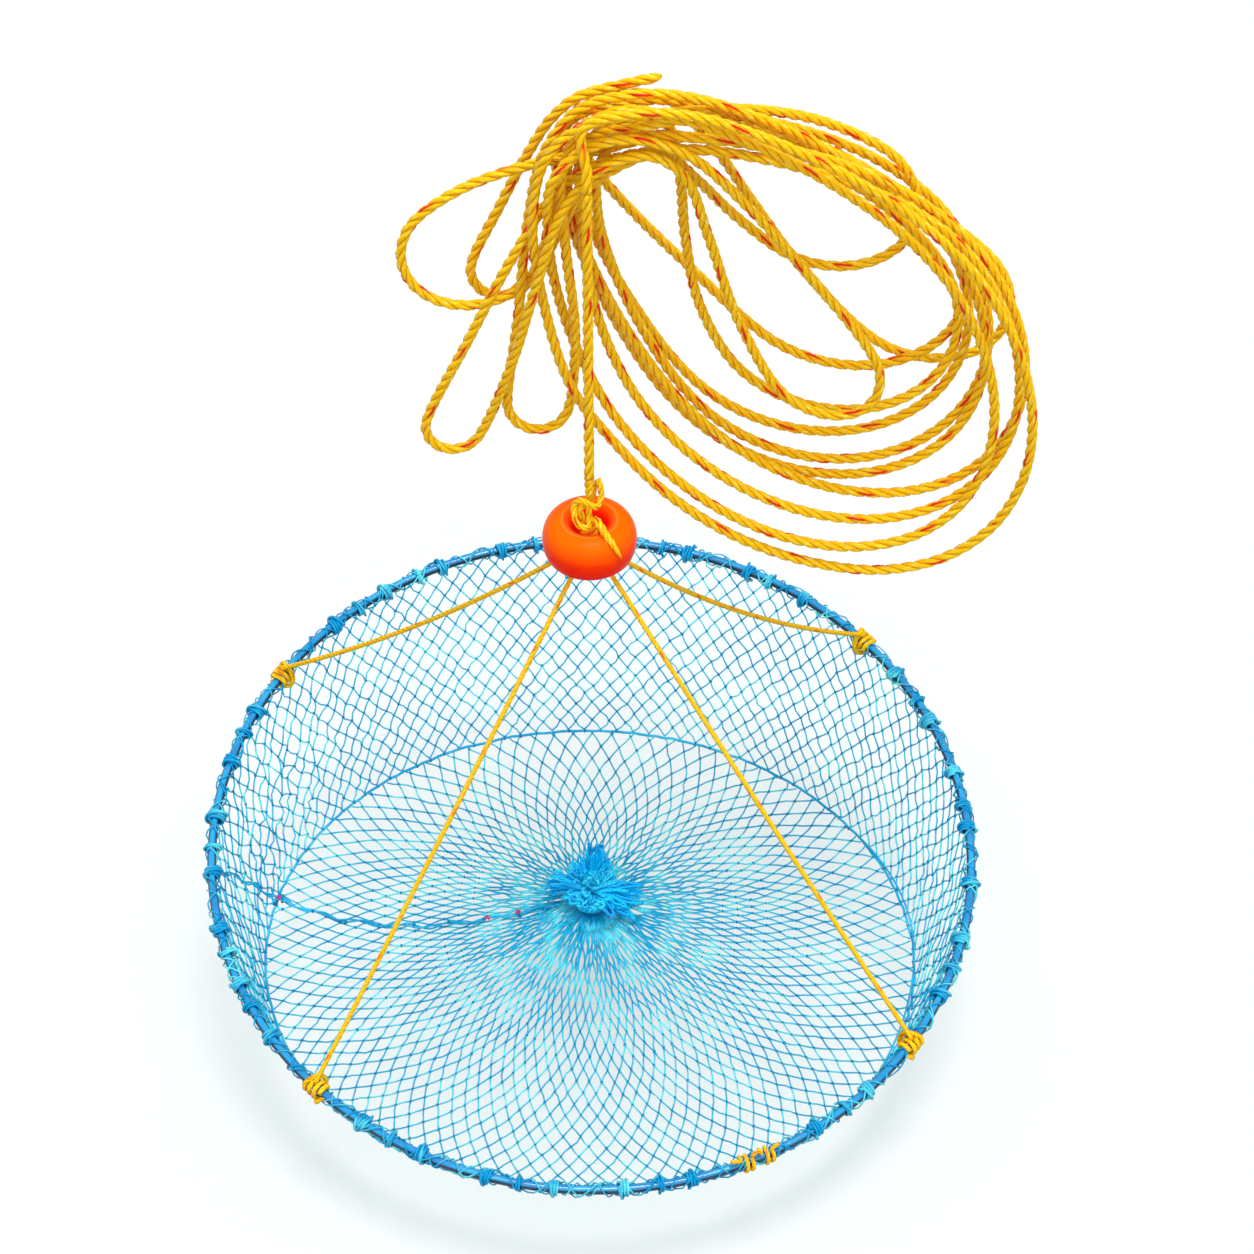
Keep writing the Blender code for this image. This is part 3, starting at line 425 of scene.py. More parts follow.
# the hank: its loops as the solid has them, in the order in which the rope runs through them.
# A row holds the length share, width share, lean in degrees from +X, how long the round tip is for its
# width, set-back share, the side of the grip that it comes back to (1 right, -1 left), steps round the
# tip, and points along each side
hank = {
    "loops": (
        (0.965, 1.03, -59.5, 1.5, 0.10, -1, 10, 4),
        (0.91, 0.92, -61, 1.5, 0.20, -1, 10, 4),
        (0.65, 0.26, -57, 1.4, 0.28, 1, 6, 3),
        (0.665, 0.145, -112.5, 1.2, 0.00, -1, 6, 3),
        (0.88, 0.97, -57, 1.4, 0.34, -1, 10, 4),
        (0.87, 0.86, -54.5, 1.4, 0.42, -1, 10, 4),
        (0.70, 0.60, -52, 1.2, 0.50, 1, 8, 4),
        (0.60, 0.145, -101.5, 1.2, 0.12, -1, 6, 3),
        (0.83, 0.82, -58, 1.3, 0.56, -1, 10, 4),
        (0.81, 0.84, -57, 1.2, 0.64, -1, 10, 4),
        (0.51, 0.34, -38, 1.2, 0.70, 1, 8, 3),
        (0.43, 0.30, -129.5, 1.1, 0.30, -1, 8, 3),
        (0.78, 0.78, -57, 1.2, 0.78, -1, 10, 4),
        (0.71, 0.60, -50, 1.2, 0.86, -1, 10, 4),
        (0.78, 0.40, -45, 1.2, 0.94, 1, 8, 4),
        (0.42, 0.15, -115, 1.1, 0.44, -1, 6, 3),
    ),
    "loopLength": 0.367,
    "loopWidth": 0.215,
    "loopSetBack": 0.080,
    "bundle": np.array([0.014, 0.011, 0.0]),  # middle of its first row of passes
    "columns": 4,
    "pitch": 0.0074,
    "lean": math.radians(-70),
    "sink": math.radians(30),
    "passHalf": 0.012,
    "passHandle": 0.16,
    "tipHandle": 0.36,
    "freeGap": 0.0014,
    "lineClear": 0.0012,
    "floatClear": 0.0060,
    "floatReach": 0.131,  # the float swings within this to either side
    "rounds": 600,
    "calm": 10,  # rounds at the end without smoothing, and between looks for new neighbours
    "least": 0.0003,
    "smoothing": 1 / 16,
    "end": 0.030,
}
hankOut = np.array([-math.sin(hank["lean"]), 0.0, math.cos(hank["lean"])])


def hankPass(order):
    # the middle of one pass of the rope through the bundle, whose rows run to and fro
    row, column = divmod(order, hank["columns"])
    if row % 2:
        column = hank["columns"] - 1 - column
    across = (column - (hank["columns"] - 1) / 2) * hank["pitch"]
    rowFall = row * hank["pitch"]
    return hank["bundle"] + np.array([across * math.cos(hank["lean"]), rowFall * math.cos(hank["sink"]),
                                      across * math.sin(hank["lean"]) - rowFall * math.sin(hank["sink"])])


def hankSide(start, startWay, startShare, end, endWay, endShare, count):
    # points down or up one side of a loop, which leaves along one direction and arrives along the other
    reach = np.linalg.norm(end - start)
    first, second = start + startWay * reach * startShare, end - endWay * reach * endShare
    shares = [index / (count + 1) for index in range(1, count + 1)]
    return [(1 - t) ** 3 * start + 3 * t * (1 - t) ** 2 * first + 3 * t ** 2 * (1 - t) * second + t ** 3 * end
            for t in shares]


def nearestOf(first, firstEnd, second, secondEnd):
    # where each pair of straight stretches comes closest, as shares along them, and how far apart
    one, two, between = firstEnd - first, secondEnd - second, first - second
    a, e = (one * one).sum(-1), (two * two).sum(-1)
    b, c, f = (one * two).sum(-1), (one * between).sum(-1), (two * between).sum(-1)
    cross = a * e - b * b
    along = np.clip(np.where(cross > 0, (b * f - c * e) / np.where(cross > 0, cross, 1), 0), 0, 1)
    beside = np.clip((b * along + f) / e, 0, 1)
    along = np.clip((b * beside - c) / a, 0, 1)
    gap = between + one * along[..., None] - two * beside[..., None]
    return along, beside, gap, np.linalg.norm(gap, axis=-1)


def settleHank(points):
    # the turns push each other apart until they lie clear, in front of the hanging line and the float
    start = np.array(points)
    shift = np.zeros_like(start)
    held = np.ones((len(start), 1))
    held[:3] = 0.0
    size = rope["diameter"]
    clear = size + hank["freeGap"]
    for turn in range(hank["rounds"]):
        now = start + shift
        if turn % hank["calm"] == 0:
            run = runOf(now)
            one, two = np.triu_indices(len(now) - 1, 2)
            far = run[two] - run[one + 1] > 2 * size
            one, two = one[far], two[far]
            close = nearestOf(now[one], now[one + 1], now[two], now[two + 1])[3] < clear + hank["pitch"]
            one, two = one[close], two[close]
        along, beside, between, apart = nearestOf(now[one], now[one + 1], now[two], now[two + 1])
        closer = np.maximum(clear - apart, 0.0)[:, None]
        push = between / np.maximum(apart, hank["least"])[:, None] * closer / 2
        force = np.zeros_like(start)
        for order, share, sign in ((one, along, 1), (two, beside, -1)):
            np.add.at(force, order, sign * push * (1 - share)[:, None])
            np.add.at(force, order + 1, sign * push * share[:, None])
        shift += held * force
        if turn < hank["rounds"] - hank["calm"]:
            smooth = (shift[:-2] + shift[2:]) / 2 - shift[1:-1]
            shift[1:-1] += held[1:-1] * smooth * hank["smoothing"]
        now = start + shift
        front = np.full(len(start), size + hank["lineClear"])
        low = (now[:, 2] < rope["knotTop"] + floatShape["radius"]) & (np.abs(now[:, 0]) < hank["floatReach"])
        front[low] = floatShape["radius"] + size / 2 + hank["floatClear"]
        shift[:, 1] += held[:, 0] * np.maximum(front - now[:, 1], 0.0) / 2
    return start + shift


def hankPoints():
    top, size, half = rope["join"], rope["diameter"], hankOut * hank["passHalf"]
    points = [np.array([0.0, 0.0, top]), np.array([0.0, 0.0, top + size]),
              np.array([0.0, size / 4, top + 2 * size]), hankPass(0) - half]
    way = 1
    for order, loop in enumerate(hank["loops"]):
        length, width, lean, tipShape, setBack, backSide, tipSteps, sideCount = loop
        leave, back = hankPass(order) + half * way, hankPass(order + 1) + half * backSide
        turn = math.radians(lean)
        down = np.array([math.cos(turn), 0.0, math.sin(turn)])
        side = np.array([-math.sin(turn), 0.0, math.cos(turn)])
        reach = width * hank["loopWidth"] / 2
        middle = down * (length * hank["loopLength"] - reach * tipShape) + hank["bundle"]
        middle = middle + (0.0, setBack * hank["loopSetBack"], 0.0)
        tip = [middle + side * reach * math.cos(part) + down * reach * tipShape * math.sin(part)
               for part in (math.pi * index / tipSteps for index in range(tipSteps + 1))]
        grip, bend = hank["passHandle"], hank["tipHandle"]
        points += [leave, *hankSide(leave, hankOut * way, grip, tip[0], down, bend, sideCount), *tip,
                   *hankSide(tip[-1], -down, bend, back, -hankOut * backSide, grip, sideCount), back]
        way = -backSide
    last = hankPass(len(hank["loops"]))
    return settleHank([*points, last + half, last + hankOut * hank["end"]])


heights = (rope["knotTop"] + rope["aboveKnot"], rope["middle"], rope["join"])
dropRoute = smoothRoute([(0.0, 0.0, height) for height in heights], ropeStep)
dropTurn = 2 * math.pi * runOf(dropRoute)[-1] / rope["pitch"]
dropRope = ringMesh("dropRope", laidRope(dropRoute, rope, fine=True))
finishPiece(dropRope, polypropyleneRope, "line", "rope", "hauling_line")

hankPath = smoothRoute(hankPoints(), ropeStep)
endScale = np.ones(len(hankPath))
endScale[-3:] = (0.97, 0.86, 0.45)  # the end is melted to a round tip
hankRope = ringMesh("hankRope", laidRope(hankPath, rope, fine=True, phase=dropTurn, scale=endScale))
finishPiece(hankRope, polypropyleneRope, "hank", "rope", "line_hank")
print("rope laid:", round(float(runOf(hankPath)[-1]), 2), "m in the hank")

# the knot over the float: an eye at the left, a bight up the right of the line, and a tail over the crest
knot = {
    "diameter": 0.0041,
    "pitch": 0.0135,
    "yarnRate": rope["yarnRate"],
    "relief": rope["relief"],
    "start": ((0, 1.4), (0.006, 1.3), (0.02, 0.92)),  # metres from its start, and how thick it is there
    "tail": ((-0.034, 0.92), (-0.018, 1.15), (-0.008, 0.95), (0, 0.3)),  # the same from its end
    "points": (  # millimetres
        (0, 0, -219), (0, 0, -222), (0, -0.6, -228), (0, -0.4, -234), (-0.2, -2.4, -239.4), (0, -6.4, -243.4),
        (-0.6, -10.4, -244.8), (-3.2, -11.2, -244.3), (-6.7, -9.5, -242.4), (-8.1, -6, -238.4),
        (-7.5, -3.4, -234.0), (-4, -4.6, -230.7),
        (0.4, -6.2, -232.4), (4.5, -5, -234.9), (6.2, -1.2, -232.2), (6.1, 1, -226), (5, 3, -223.6),
        (3.1, 4.6, -228.5),
        (1.2, 5.2, -237.3), (-2.6, 4, -241.6), (-4.8, 0.6, -242.6), (-4.2, -3, -242.8), (-1.6, -3.2, -247.2),
        (1.4, -3.4, -248.4), (2, -5.4, -246), (2.7, -7.4, -242.2), (3.9, -9.8, -240),
        (6, -12.4, -242), (8.6, -14.6, -245.8), (13, -19, -250.4), (17.2, -21.5, -256.6),
    ),
}
knotPath = smoothRoute(np.array(knot["points"]) / 1000, knot["pitch"] / 8)
knotRun = runOf(knotPath)
thickness = [*knot["start"], *((knotRun[-1] + back, size) for back, size in knot["tail"])]
knotScale = np.interp(knotRun, *zip(*thickness))
topKnot = ringMesh("topKnot", laidRope(knotPath, knot, fine=True, scale=knotScale, phase=-dropTurn))
finishPiece(topKnot, polypropyleneRope, "net", "rope", "line_knot")
print("knot tied")

# the hoop's own frame, as its solids have it
hoop = {
    "radius": 0.218,
    "rodRadius": 0.0026,
    "fall": 0.508,
    "setBack": 0.00097,
    "tilt": math.radians(11.6),
    "sideTilt": math.radians(1.2),
}
hoopLean = Euler((hoop["tilt"], hoop["sideTilt"], 0.0)).to_matrix().to_4x4()
hoopMatrix = Matrix.Translation((0.0, hoop["setBack"], -hoop["fall"])) @ hoopLean
hoopTurn = np.array(hoopMatrix.to_3x3())
hoopPlace = np.array(hoopMatrix.translation)


def fromHoop(points):
    return np.asarray(points, float) @ hoopTurn.T + hoopPlace


def rimFrame(azimuth):
    # the rod's middle here, with its outward, upward and lengthwise directions
    cos, sin = math.cos(azimuth), math.sin(azimuth)
    centre = fromHoop(onCircle(hoop["radius"], azimuth))
    return centre, hoopTurn @ (cos, sin, 0.0), hoopTurn @ (0.0, 0.0, 1.0), hoopTurn @ (-sin, cos, 0.0)


def roundRod(place, turn, reach, shift=0.0):
    # a point beside the rod: the turn round it from outside upward, the reach, and the shift along it
    centre, outward, upward, along = place
    return centre + (outward * math.cos(turn) + upward * math.sin(turn)) * reach + along * shift


# bridles: four cords from the float's bore to the hoop, each tied with turns and a tucked tail
bridle = {
    "diameter": 0.0032,
    "pitch": 0.013,
    "yarnRate": 1.4,
    "relief": 0.14,
    "ties": {  # degrees round the rim, and sag
        "front_left": (226.0, 0.002),
        "front_right": (325.3, 0.002),
        "back_left": (147.2, 0.009),
        "back_right": (42.8, 0.014),
    },
    "points": 14,
    "headHeight": -0.2592,
    "headSpread": 0.0032,
    "lipGap": 0.0008,
    "seat": 0.0003,
    "turns": 3,
    "turnPitch": 0.0036,
    "cross": (0.0052, 0.0016, 0.0029),  # start along the rod, step back, and height over the turns
    "tail": ((0.9, 0.5, 0.6, 0.0045), (0.3, 0.9, 0.9, 0.0040)),  # up, in, back along, and size
    "fray": (0.004, 0.7),  # length at the end of the tail, and how thick its tip is
}
# its deep and groove colours are painted shade, as on the rope
bridleLook = dict(ropeLook, yellow="#FFC800", light="#FFDC28", worn="#FFEA78", deep="#FFB000",
                  grooveShade="#EE8A00", tracer="#EE7A10", yarnsRound=5, tracerShare=0.10, tracerCut=0.46)
# twisted polyethylene: a paler yellow than the rope and smoother, because its grooves are shallow
bridleCord = ropeMaterial("twistedPolyethyleneCord", bridleLook)
# the same cord pressed in its knots, where more of the marker yarn shows
# its groove colour is painted shade too
hitchLook = dict(bridleLook, yellow="#FFCE00", grooveShade="#F08C00", tracerCut=0.35)
hitchCord = ropeMaterial("knottedPolyethyleneCord", hitchLook)


def lipPass(heading, target):
    # where a bridle leaves the float: clear of the curved lip on the way to its tie
    bottom = -floatShape["fall"] - floatShape["height"] / 2
    wide, deep = floatShape["dimpleRadius"], floatShape["dimpleDepth"]
    across = wide - floatShape["bore"]
    slope = math.atan2(bottom - target[2], math.hypot(target[0], target[1]) - floatShape["bore"])
    inward, downward = math.sin(slope), math.cos(slope)
    size = math.hypot(across * inward, deep * downward)
    off = bridle["diameter"] / 2 + bridle["lipGap"]
    reach = wide - across ** 2 * inward / size - off * inward
    return onCircle(reach, heading, bottom + deep - deep ** 2 * downward / size - off * downward)


def hitchRoute(place, rise, lean):
    # turns round the rod, a turn crossed over them, and a tail left standing
    centre, outward, upward, along = place
    reach = hoop["rodRadius"] + bridle["diameter"] / 2 + bridle["seat"]
    turns, start = bridle["turns"], rise - math.pi / 2
    route = []
    for step in range(turns * 8 + 1):
        turn = start - 2 * math.pi * (1 - step / 8)
        route.append(roundRod(place, turn, reach, bridle["turnPitch"] * (step / 8 - turns / 2) * lean))
    aside, back, height = bridle["cross"]
    for step in range(1, 7):
        turn = start + 4 * math.pi + 2 * math.pi * step / 8
        over = height * math.sin(math.pi * step / 7) ** 0.5
        route.append(roundRod(place, turn, reach + over, lean * (aside - back * step)))
    for up, inward, aside, size in bridle["tail"]:
        route.append(route[-1] + (upward * up - outward * inward - along * lean * aside) * size)
    return route


for number, (side, (degrees, sag)) in enumerate(bridle["ties"].items()):
    tiePlace = rimFrame(math.radians(degrees))
    centre, outward, upward = tiePlace[:3]
    heading = math.atan2(centre[1], centre[0])
    mouth = lipPass(heading, centre - (0.0, 0.0, 4 * sag))
    way = unit(mouth - centre)
    rise = math.atan2(way @ upward, way @ outward)
    rodSide = outward * math.sin(rise) - upward * math.cos(rise)  # where the cord leaves the turns
    foot = centre + rodSide * (hoop["rodRadius"] + bridle["diameter"] / 2) + way * bridle["diameter"]
    head = onCircle(bridle["headSpread"], heading, bridle["headHeight"])
    points = [head, (head + mouth) / 2 - (0.0, 0.0, floatShape["dimpleDepth"] / 4), mouth]
    for step in range(1, bridle["points"] + 1):
        share = step / bridle["points"]
        points.append(mouth + (foot - mouth) * share - (0.0, 0.0, sag * 4 * share * (1 - share)))
    path = smoothRoute(points, bridle["pitch"] / 6)
    lead = ringMesh(f"bridleCord_{side}", laidRope(path, bridle, phase=number))
    finishPiece(lead, bridleCord, "net", "bridle_cord", f"bridle_{side}")
    turns = smoothRoute(hitchRoute(tiePlace, rise, 1 if number % 2 else -1), bridle["pitch"] / 7)
    turnRun = runOf(turns)
    fray, tip = bridle["fray"]
    thick = np.interp(turnRun, [0, turnRun[-1] - fray, turnRun[-1]], [1.0, 1.0, tip])
    hitch = ringMesh(f"hitchCord_{side}", laidRope(turns, bridle, scale=thick))
    finishPiece(hitch, hitchCord, "net", "bridle_cord", f"hitch_{side}")

# the gather knot inside the bore: a small three-lobed knot of the same cord
gather = {"middle": (0.0, 0.0, -0.2549), "big": 0.0031, "small": 0.0012, "height": 0.0024, "points": 48}
turn = np.linspace(0, 2 * math.pi, gather["points"] + 1)[:-1]
reach = gather["big"] + gather["small"] * np.cos(3 * turn)
height = gather["height"] * np.sin(3 * turn)
lobes = np.stack([reach * np.cos(2 * turn), reach * np.sin(2 * turn), height], axis=1)
knotTube = tube(lobes + gather["middle"], bridle["diameter"] / 2, sides=8, closed=True, spin=0.0)
gatherKnot = ringMesh("gatherKnot", [knotTube])
finishPiece(gatherKnot, hitchCord, "net", "bridle_cord", "bridle_gather_knot")

# the fifth cord on the front rim: two short windings and a bridge
spare = {
    "diameter": 0.0026,
    "pitch": 0.009,
    "yarnRate": 1.4,
    "relief": 0.225,
    "places": (293.4, 296.6),  # degrees round the rim
    "turns": 2,
    "turnPitch": 0.0034,
    "seat": 0.0005,
    "bridgeRise": 0.0038,
    "stub": (-0.006, 0.0035),  # along the rod and up
    "tail": (0.004, 0.003),
}


def windRod(place):
    reach = hoop["rodRadius"] + spare["diameter"] / 2 + spare["seat"]
    turns, pitch = spare["turns"], spare["turnPitch"]
    return [roundRod(place, math.pi / 2 + math.pi * i / 4, reach, pitch * (i / 8 - turns / 2))
            for i in range(turns * 8 + 1)]


first, second = [rimFrame(math.radians(degrees)) for degrees in spare["places"]]
one, two = windRod(first), windRod(second)
bridge = [one[-1] * (1 - share) + two[0] * share + first[2] * spare["bridgeRise"] for share in (0.25, 0.75)]
stub, tail = [end + place[3] * aside + place[2] * up for end, place, (aside, up) in
              ((one[0], first, spare["stub"]), (two[-1], second, spare["tail"]))]
sparePath = smoothRoute([stub, *one, *bridge, *two, tail], spare["pitch"] / 7)
spareTie = ringMesh("spareTieCord", laidRope(sparePath, spare))
finishPiece(spareTie, hitchCord, "net", "bridle_cord", "spare_tie")
print("bridles tied")

def squarer(value):
    return math.copysign(abs(value) ** (2 / floatShape["squareness"]), value)


# the float's outline: its wall from top to bottom with the ridge, then the dimples and the bore
half = floatShape["height"] / 2
wall = floatShape["radius"] - floatShape["dimpleRadius"]
profile = []
for i in range(41):
    turn = math.pi / 2 - math.pi * i / 40
    height = half * squarer(math.sin(turn))
    ridge = floatShape["ridgeSize"] * hump(height, floatShape["ridgeHeight"], floatShape["ridgeWidth"])
    profile.append((floatShape["dimpleRadius"] + wall * squarer(math.cos(turn)) + ridge, height))
lip = [(floatShape["bore"] + (floatShape["dimpleRadius"] - floatShape["bore"]) * (1 - math.sin(turn)),
        half - floatShape["dimpleDepth"] * (1 - math.cos(turn))) for turn in np.radians(range(10, 91, 10))]
profile += [(reach, -height) for reach, height in lip] + [(reach, height) for reach, height in reversed(lip)]
bpy.ops.object.select_all(action="DESELECT")
bpy.ops.mesh.primitive_circle_add(vertices=len(profile), radius=floatShape["radius"])
floatShell = bpy.context.object
floatShell.name = "floatShell"
for vertex, (reach, height) in zip(floatShell.data.vertices, profile):
    vertex.co = (reach, 0.0, height - floatShape["fall"])
bpy.ops.object.mode_set(mode="EDIT")
bpy.ops.mesh.select_all(action="SELECT")
bpy.ops.mesh.spin(steps=floatShape["steps"], angle=2 * math.pi, center=(0.0, 0.0, 0.0), axis=(0.0, 0.0, 1.0))
bpy.ops.mesh.select_all(action="SELECT")
bpy.ops.mesh.remove_doubles(threshold=0.00002)
bpy.ops.mesh.normals_make_consistent(inside=False)
bpy.ops.object.mode_set(mode="OBJECT")
bpy.ops.object.shade_smooth()
floatLook = {
    # painted light and shade: lighter orange at the top, deeper red low down
    "top": "#FF6800",
    "middle": "#FF3800",
    "low": "#FA0E00",
    "inside": "#EC0C00",
    "crest": "#FF9A48",
    "glow": "#FF1800",
    "through": 0.22,  # how strong the painted glow in the bore is
    "litTopFade": (-0.2585, -0.2480),  # heights
    "shadedLowFade": (-0.2545, -0.2690),
    "drift": 0.006,  # how far the fades wander
    "boreFade": (0.0145, 0.0095),  # from the axis
    # a painted highlight round the crest, on the upper side only
    "crestReach": 0.0150,
    "crestWidth": 0.0011,
    "crestAbove": -0.255,
    "crestMost": 0.4,
    "cloud": (60.0, 3.0),  # in a metre, and detail: clouds of about 17 mm
    "ripple": (240.0, 4.0),  # ripples of about 4 mm
    "roughness": (0.35, 0.7, 0.24, 0.38),
    "relief": (0.06, 0.0006),
}
# moulded polyethylene: a satin skin with a faint ripple, painted lighter orange on top and deeper red low
# down as painted light and shade, with a painted highlight round the crest and a painted glow in the bore
mouldedFloat, tree, shader = startMaterial(
    "mouldedPolyethyleneFloat", {"Specular IOR Level": 0.04, "Emission Color": linear(floatLook["glow"])})
place = add(tree, "TexCoord").outputs["Object"]
placeX, placeY, placeZ = add(tree, "SeparateXYZ", [place]).outputs
cloud, rub = [add(tree, "TexNoise", {"Vector": place, "Scale": rate, "Detail": detail})
              for rate, detail in (floatLook["cloud"], floatLook["ripple"])]
drift = add(tree, "Math", [cloud, floatLook["drift"], placeZ], operation="MULTIPLY_ADD")
level = add(tree, "CombineXYZ", [placeX, placeY])
outFrom = add(tree, "VectorMath", [level], operation="LENGTH").outputs["Value"]
# deeper red towards the bore, and a painted glow there
inner = add(tree, "MapRange", [outFrom, *floatLook["boreFade"]])
offCrest = outFrom
for operation in ("SUBTRACT", "ABSOLUTE"):
    offCrest = add(tree, "Math", [offCrest, floatLook["crestReach"]], operation=operation)
# a painted highlight in a thin ring round the crest
crestHighlight = add(tree, "MapRange", [offCrest, floatLook["crestWidth"], 0.0, 0.0, floatLook["crestMost"]])
high = add(tree, "Math", [placeZ, floatLook["crestAbove"]], operation="GREATER_THAN")
# painted light on the top and painted shade low down, by height
litTopShare, shadedLowShare = [add(tree, "MapRange", [drift, *floatLook[fade]]) for fade in ("litTopFade", "shadedLowFade")]
crestHighlightShare = add(tree, "Math", [crestHighlight, high], operation="MULTIPLY")
skin = linear(floatLook["middle"])
for share, layer in ((litTopShare, "top"), (shadedLowShare, "low"), (inner, "inside"), (crestHighlightShare, "crest")):
    skin = add(tree, "Mix", {0: share, 6: skin, 7: linear(floatLook[layer])}, data_type="RGBA")
strength, depth = floatLook["relief"]
for socket, value in (
    ("Base Color", skin),
    ("Roughness", add(tree, "MapRange", [rub, *floatLook["roughness"]])),
    # the painted glow in the bore
    ("Emission Strength", add(tree, "Math", [inner, floatLook["through"]], operation="MULTIPLY")),
    ("Normal", add(tree, "Bump", {"Height": rub, "Strength": strength, "Distance": depth})),
):
    feed(tree, shader.inputs[socket], value)
finishPiece(floatShell, mouldedFloat, "float", "float_plastic", "float")
print("float turned")

# the hoop: a coated steel rod bent to a ring
bpy.ops.object.select_all(action="DESELECT")
bpy.ops.mesh.primitive_torus_add(major_radius=hoop["radius"], minor_radius=hoop["rodRadius"],
                                 major_segments=256, minor_segments=20)
hoopRod = bpy.context.object
hoopRod.name = "coatedHoop"
# how far down the rod's section each point lies, which places the painted shade on its underside
underside = [max(-1.0, min(1.0, -vertex.co.z / hoop["rodRadius"])) for vertex in hoopRod.data.vertices]
hoopRod.data.attributes.new("underside", "FLOAT", "POINT").data.foreach_set("value", underside)
hoopRod.matrix_world = hoopMatrix
bpy.ops.object.transform_apply(location=True, rotation=True, scale=True)
bpy.ops.object.shade_smooth()
rodLook = {
    "blue": "#0880C0",
    "light": ("#10A2DE", 0.38, 0.62, 0.0, 1.0),  # the colour, and where on its pattern it begins and is full
    # painted shade: almost black on the underside, its edge broken by the patches
    "worn": ("#02202E", -0.62, -0.36, 0.0, 0.94),
    "patch": (45.0, 4.0),  # in a metre, and detail: patches of about 22 mm
    "grain": (500.0, 2.0),  # grain of about 2 mm
    "roughness": (0.0, 1.0, 0.08, 0.2),
    "relief": (0.15, 0.0003),
}
# plastic coat on steel: a wet-looking blue skin, with painted shade making it almost black below
coatedSteel, tree, shader = startMaterial("pvcCoatedSteel", {"Specular IOR Level": 0.45})
place = add(tree, "TexCoord").outputs["Object"]
patch, grain = [add(tree, "TexNoise", {"Vector": place, "Scale": rate, "Detail": detail})
                for rate, detail in (rodLook["patch"], rodLook["grain"])]
below = add(tree, "Attribute", attribute_name="underside").outputs["Fac"]
# painted shade on the underside, its edge broken by the patches
undersideShade = add(tree, "Math", [patch, 0.5, below], operation="MULTIPLY_ADD")
skin = linear(rodLook["blue"])
for pattern, layer in ((patch, "light"), (undersideShade, "worn")):
    colour, *fade = rodLook[layer]
    share = add(tree, "MapRange", [pattern, *fade])
    skin = add(tree, "Mix", {0: share, 6: skin, 7: linear(colour)}, data_type="RGBA")
strength, depth = rodLook["relief"]
for socket, value in (
    ("Base Color", skin),
    ("Roughness", add(tree, "MapRange", [grain, *rodLook["roughness"]])),
    ("Normal", add(tree, "Bump", {"Height": grain, "Strength": strength, "Distance": depth})),
):
    feed(tree, shader.inputs[socket], value)
finishPiece(hoopRod, coatedSteel, "net", "coated_rod", "hoop_rod")
print("hoop bent")


# twisted nylon twine: satin, paler where it is clean, with painted shade between its plies
twineLook = {
    "gloss": 0.16,
    "lightFade": (0.42, 0.66),
    "plyShadeFade": (0.4, 0.0, 0.0, 0.6),
    "patch": 55.0,  # in a metre: patches of about 18 mm
    "relief": (0.4, 0.0002),
}


def twineMaterial(name, main, light, plyShade, knotColour, roughness, plies):
    gloss = {"Roughness": roughness, "Specular IOR Level": twineLook["gloss"]}
    material, tree, shader = startMaterial(name, gloss)
    around = add(tree, "SeparateXYZ", [add(tree, "UVMap", uv_map="lay")]).outputs[0]
    turn = add(tree, "Math", [around, 2 * math.pi * plies], operation="MULTIPLY")
    ply = add(tree, "MapRange", [add(tree, "Math", [turn], operation="SINE"), -1.0, 1.0])
    place = add(tree, "TexCoord").outputs["Object"]
    patch = add(tree, "TexNoise", {"Vector": place, "Scale": twineLook["patch"], "Detail": 2.0})
    skin = linear(main)
    for share, colour in (
        (add(tree, "MapRange", [patch, *twineLook["lightFade"]]), light),
        # painted shade between the plies
        (add(tree, "MapRange", [ply, *twineLook["plyShadeFade"]]), plyShade),
        (add(tree, "Attribute", attribute_name="strandTag").outputs["Fac"], knotColour),
    ):
        skin = add(tree, "Mix", {0: share, 6: skin, 7: linear(colour)}, data_type="RGBA")
    strength, depth = twineLook["relief"]
    relief = add(tree, "Bump", {"Height": ply, "Strength": strength, "Distance": depth})
    feed(tree, shader.inputs["Base Color"], skin)
    feed(tree, shader.inputs["Normal"], relief)
    return material


# the net's is fine, the lashings' wetter and darker, the seam's a deeper blue and the tuft's the brightest
# the third colour of each twine is painted shade between its plies
netTwine = twineMaterial("twistedNetTwine", "#12B6E2", "#6CF8FF", "#0684B6", "#087EB0", 0.45, 2)
wrapTwine = twineMaterial("lashingTwine", "#02A2DE", "#6CF2FF", "#023C64", "#045C92", 0.4, 3)
seamTwine = twineMaterial("seamTwine", "#0EA0D2", "#34CAF4", "#087AAC", "#087AAC", 0.45, 3)
tuftTwine = twineMaterial("gatheredTwine", "#00CEFF", "#3CECFF", "#0060C0", "#0070D4", 0.5, 2)

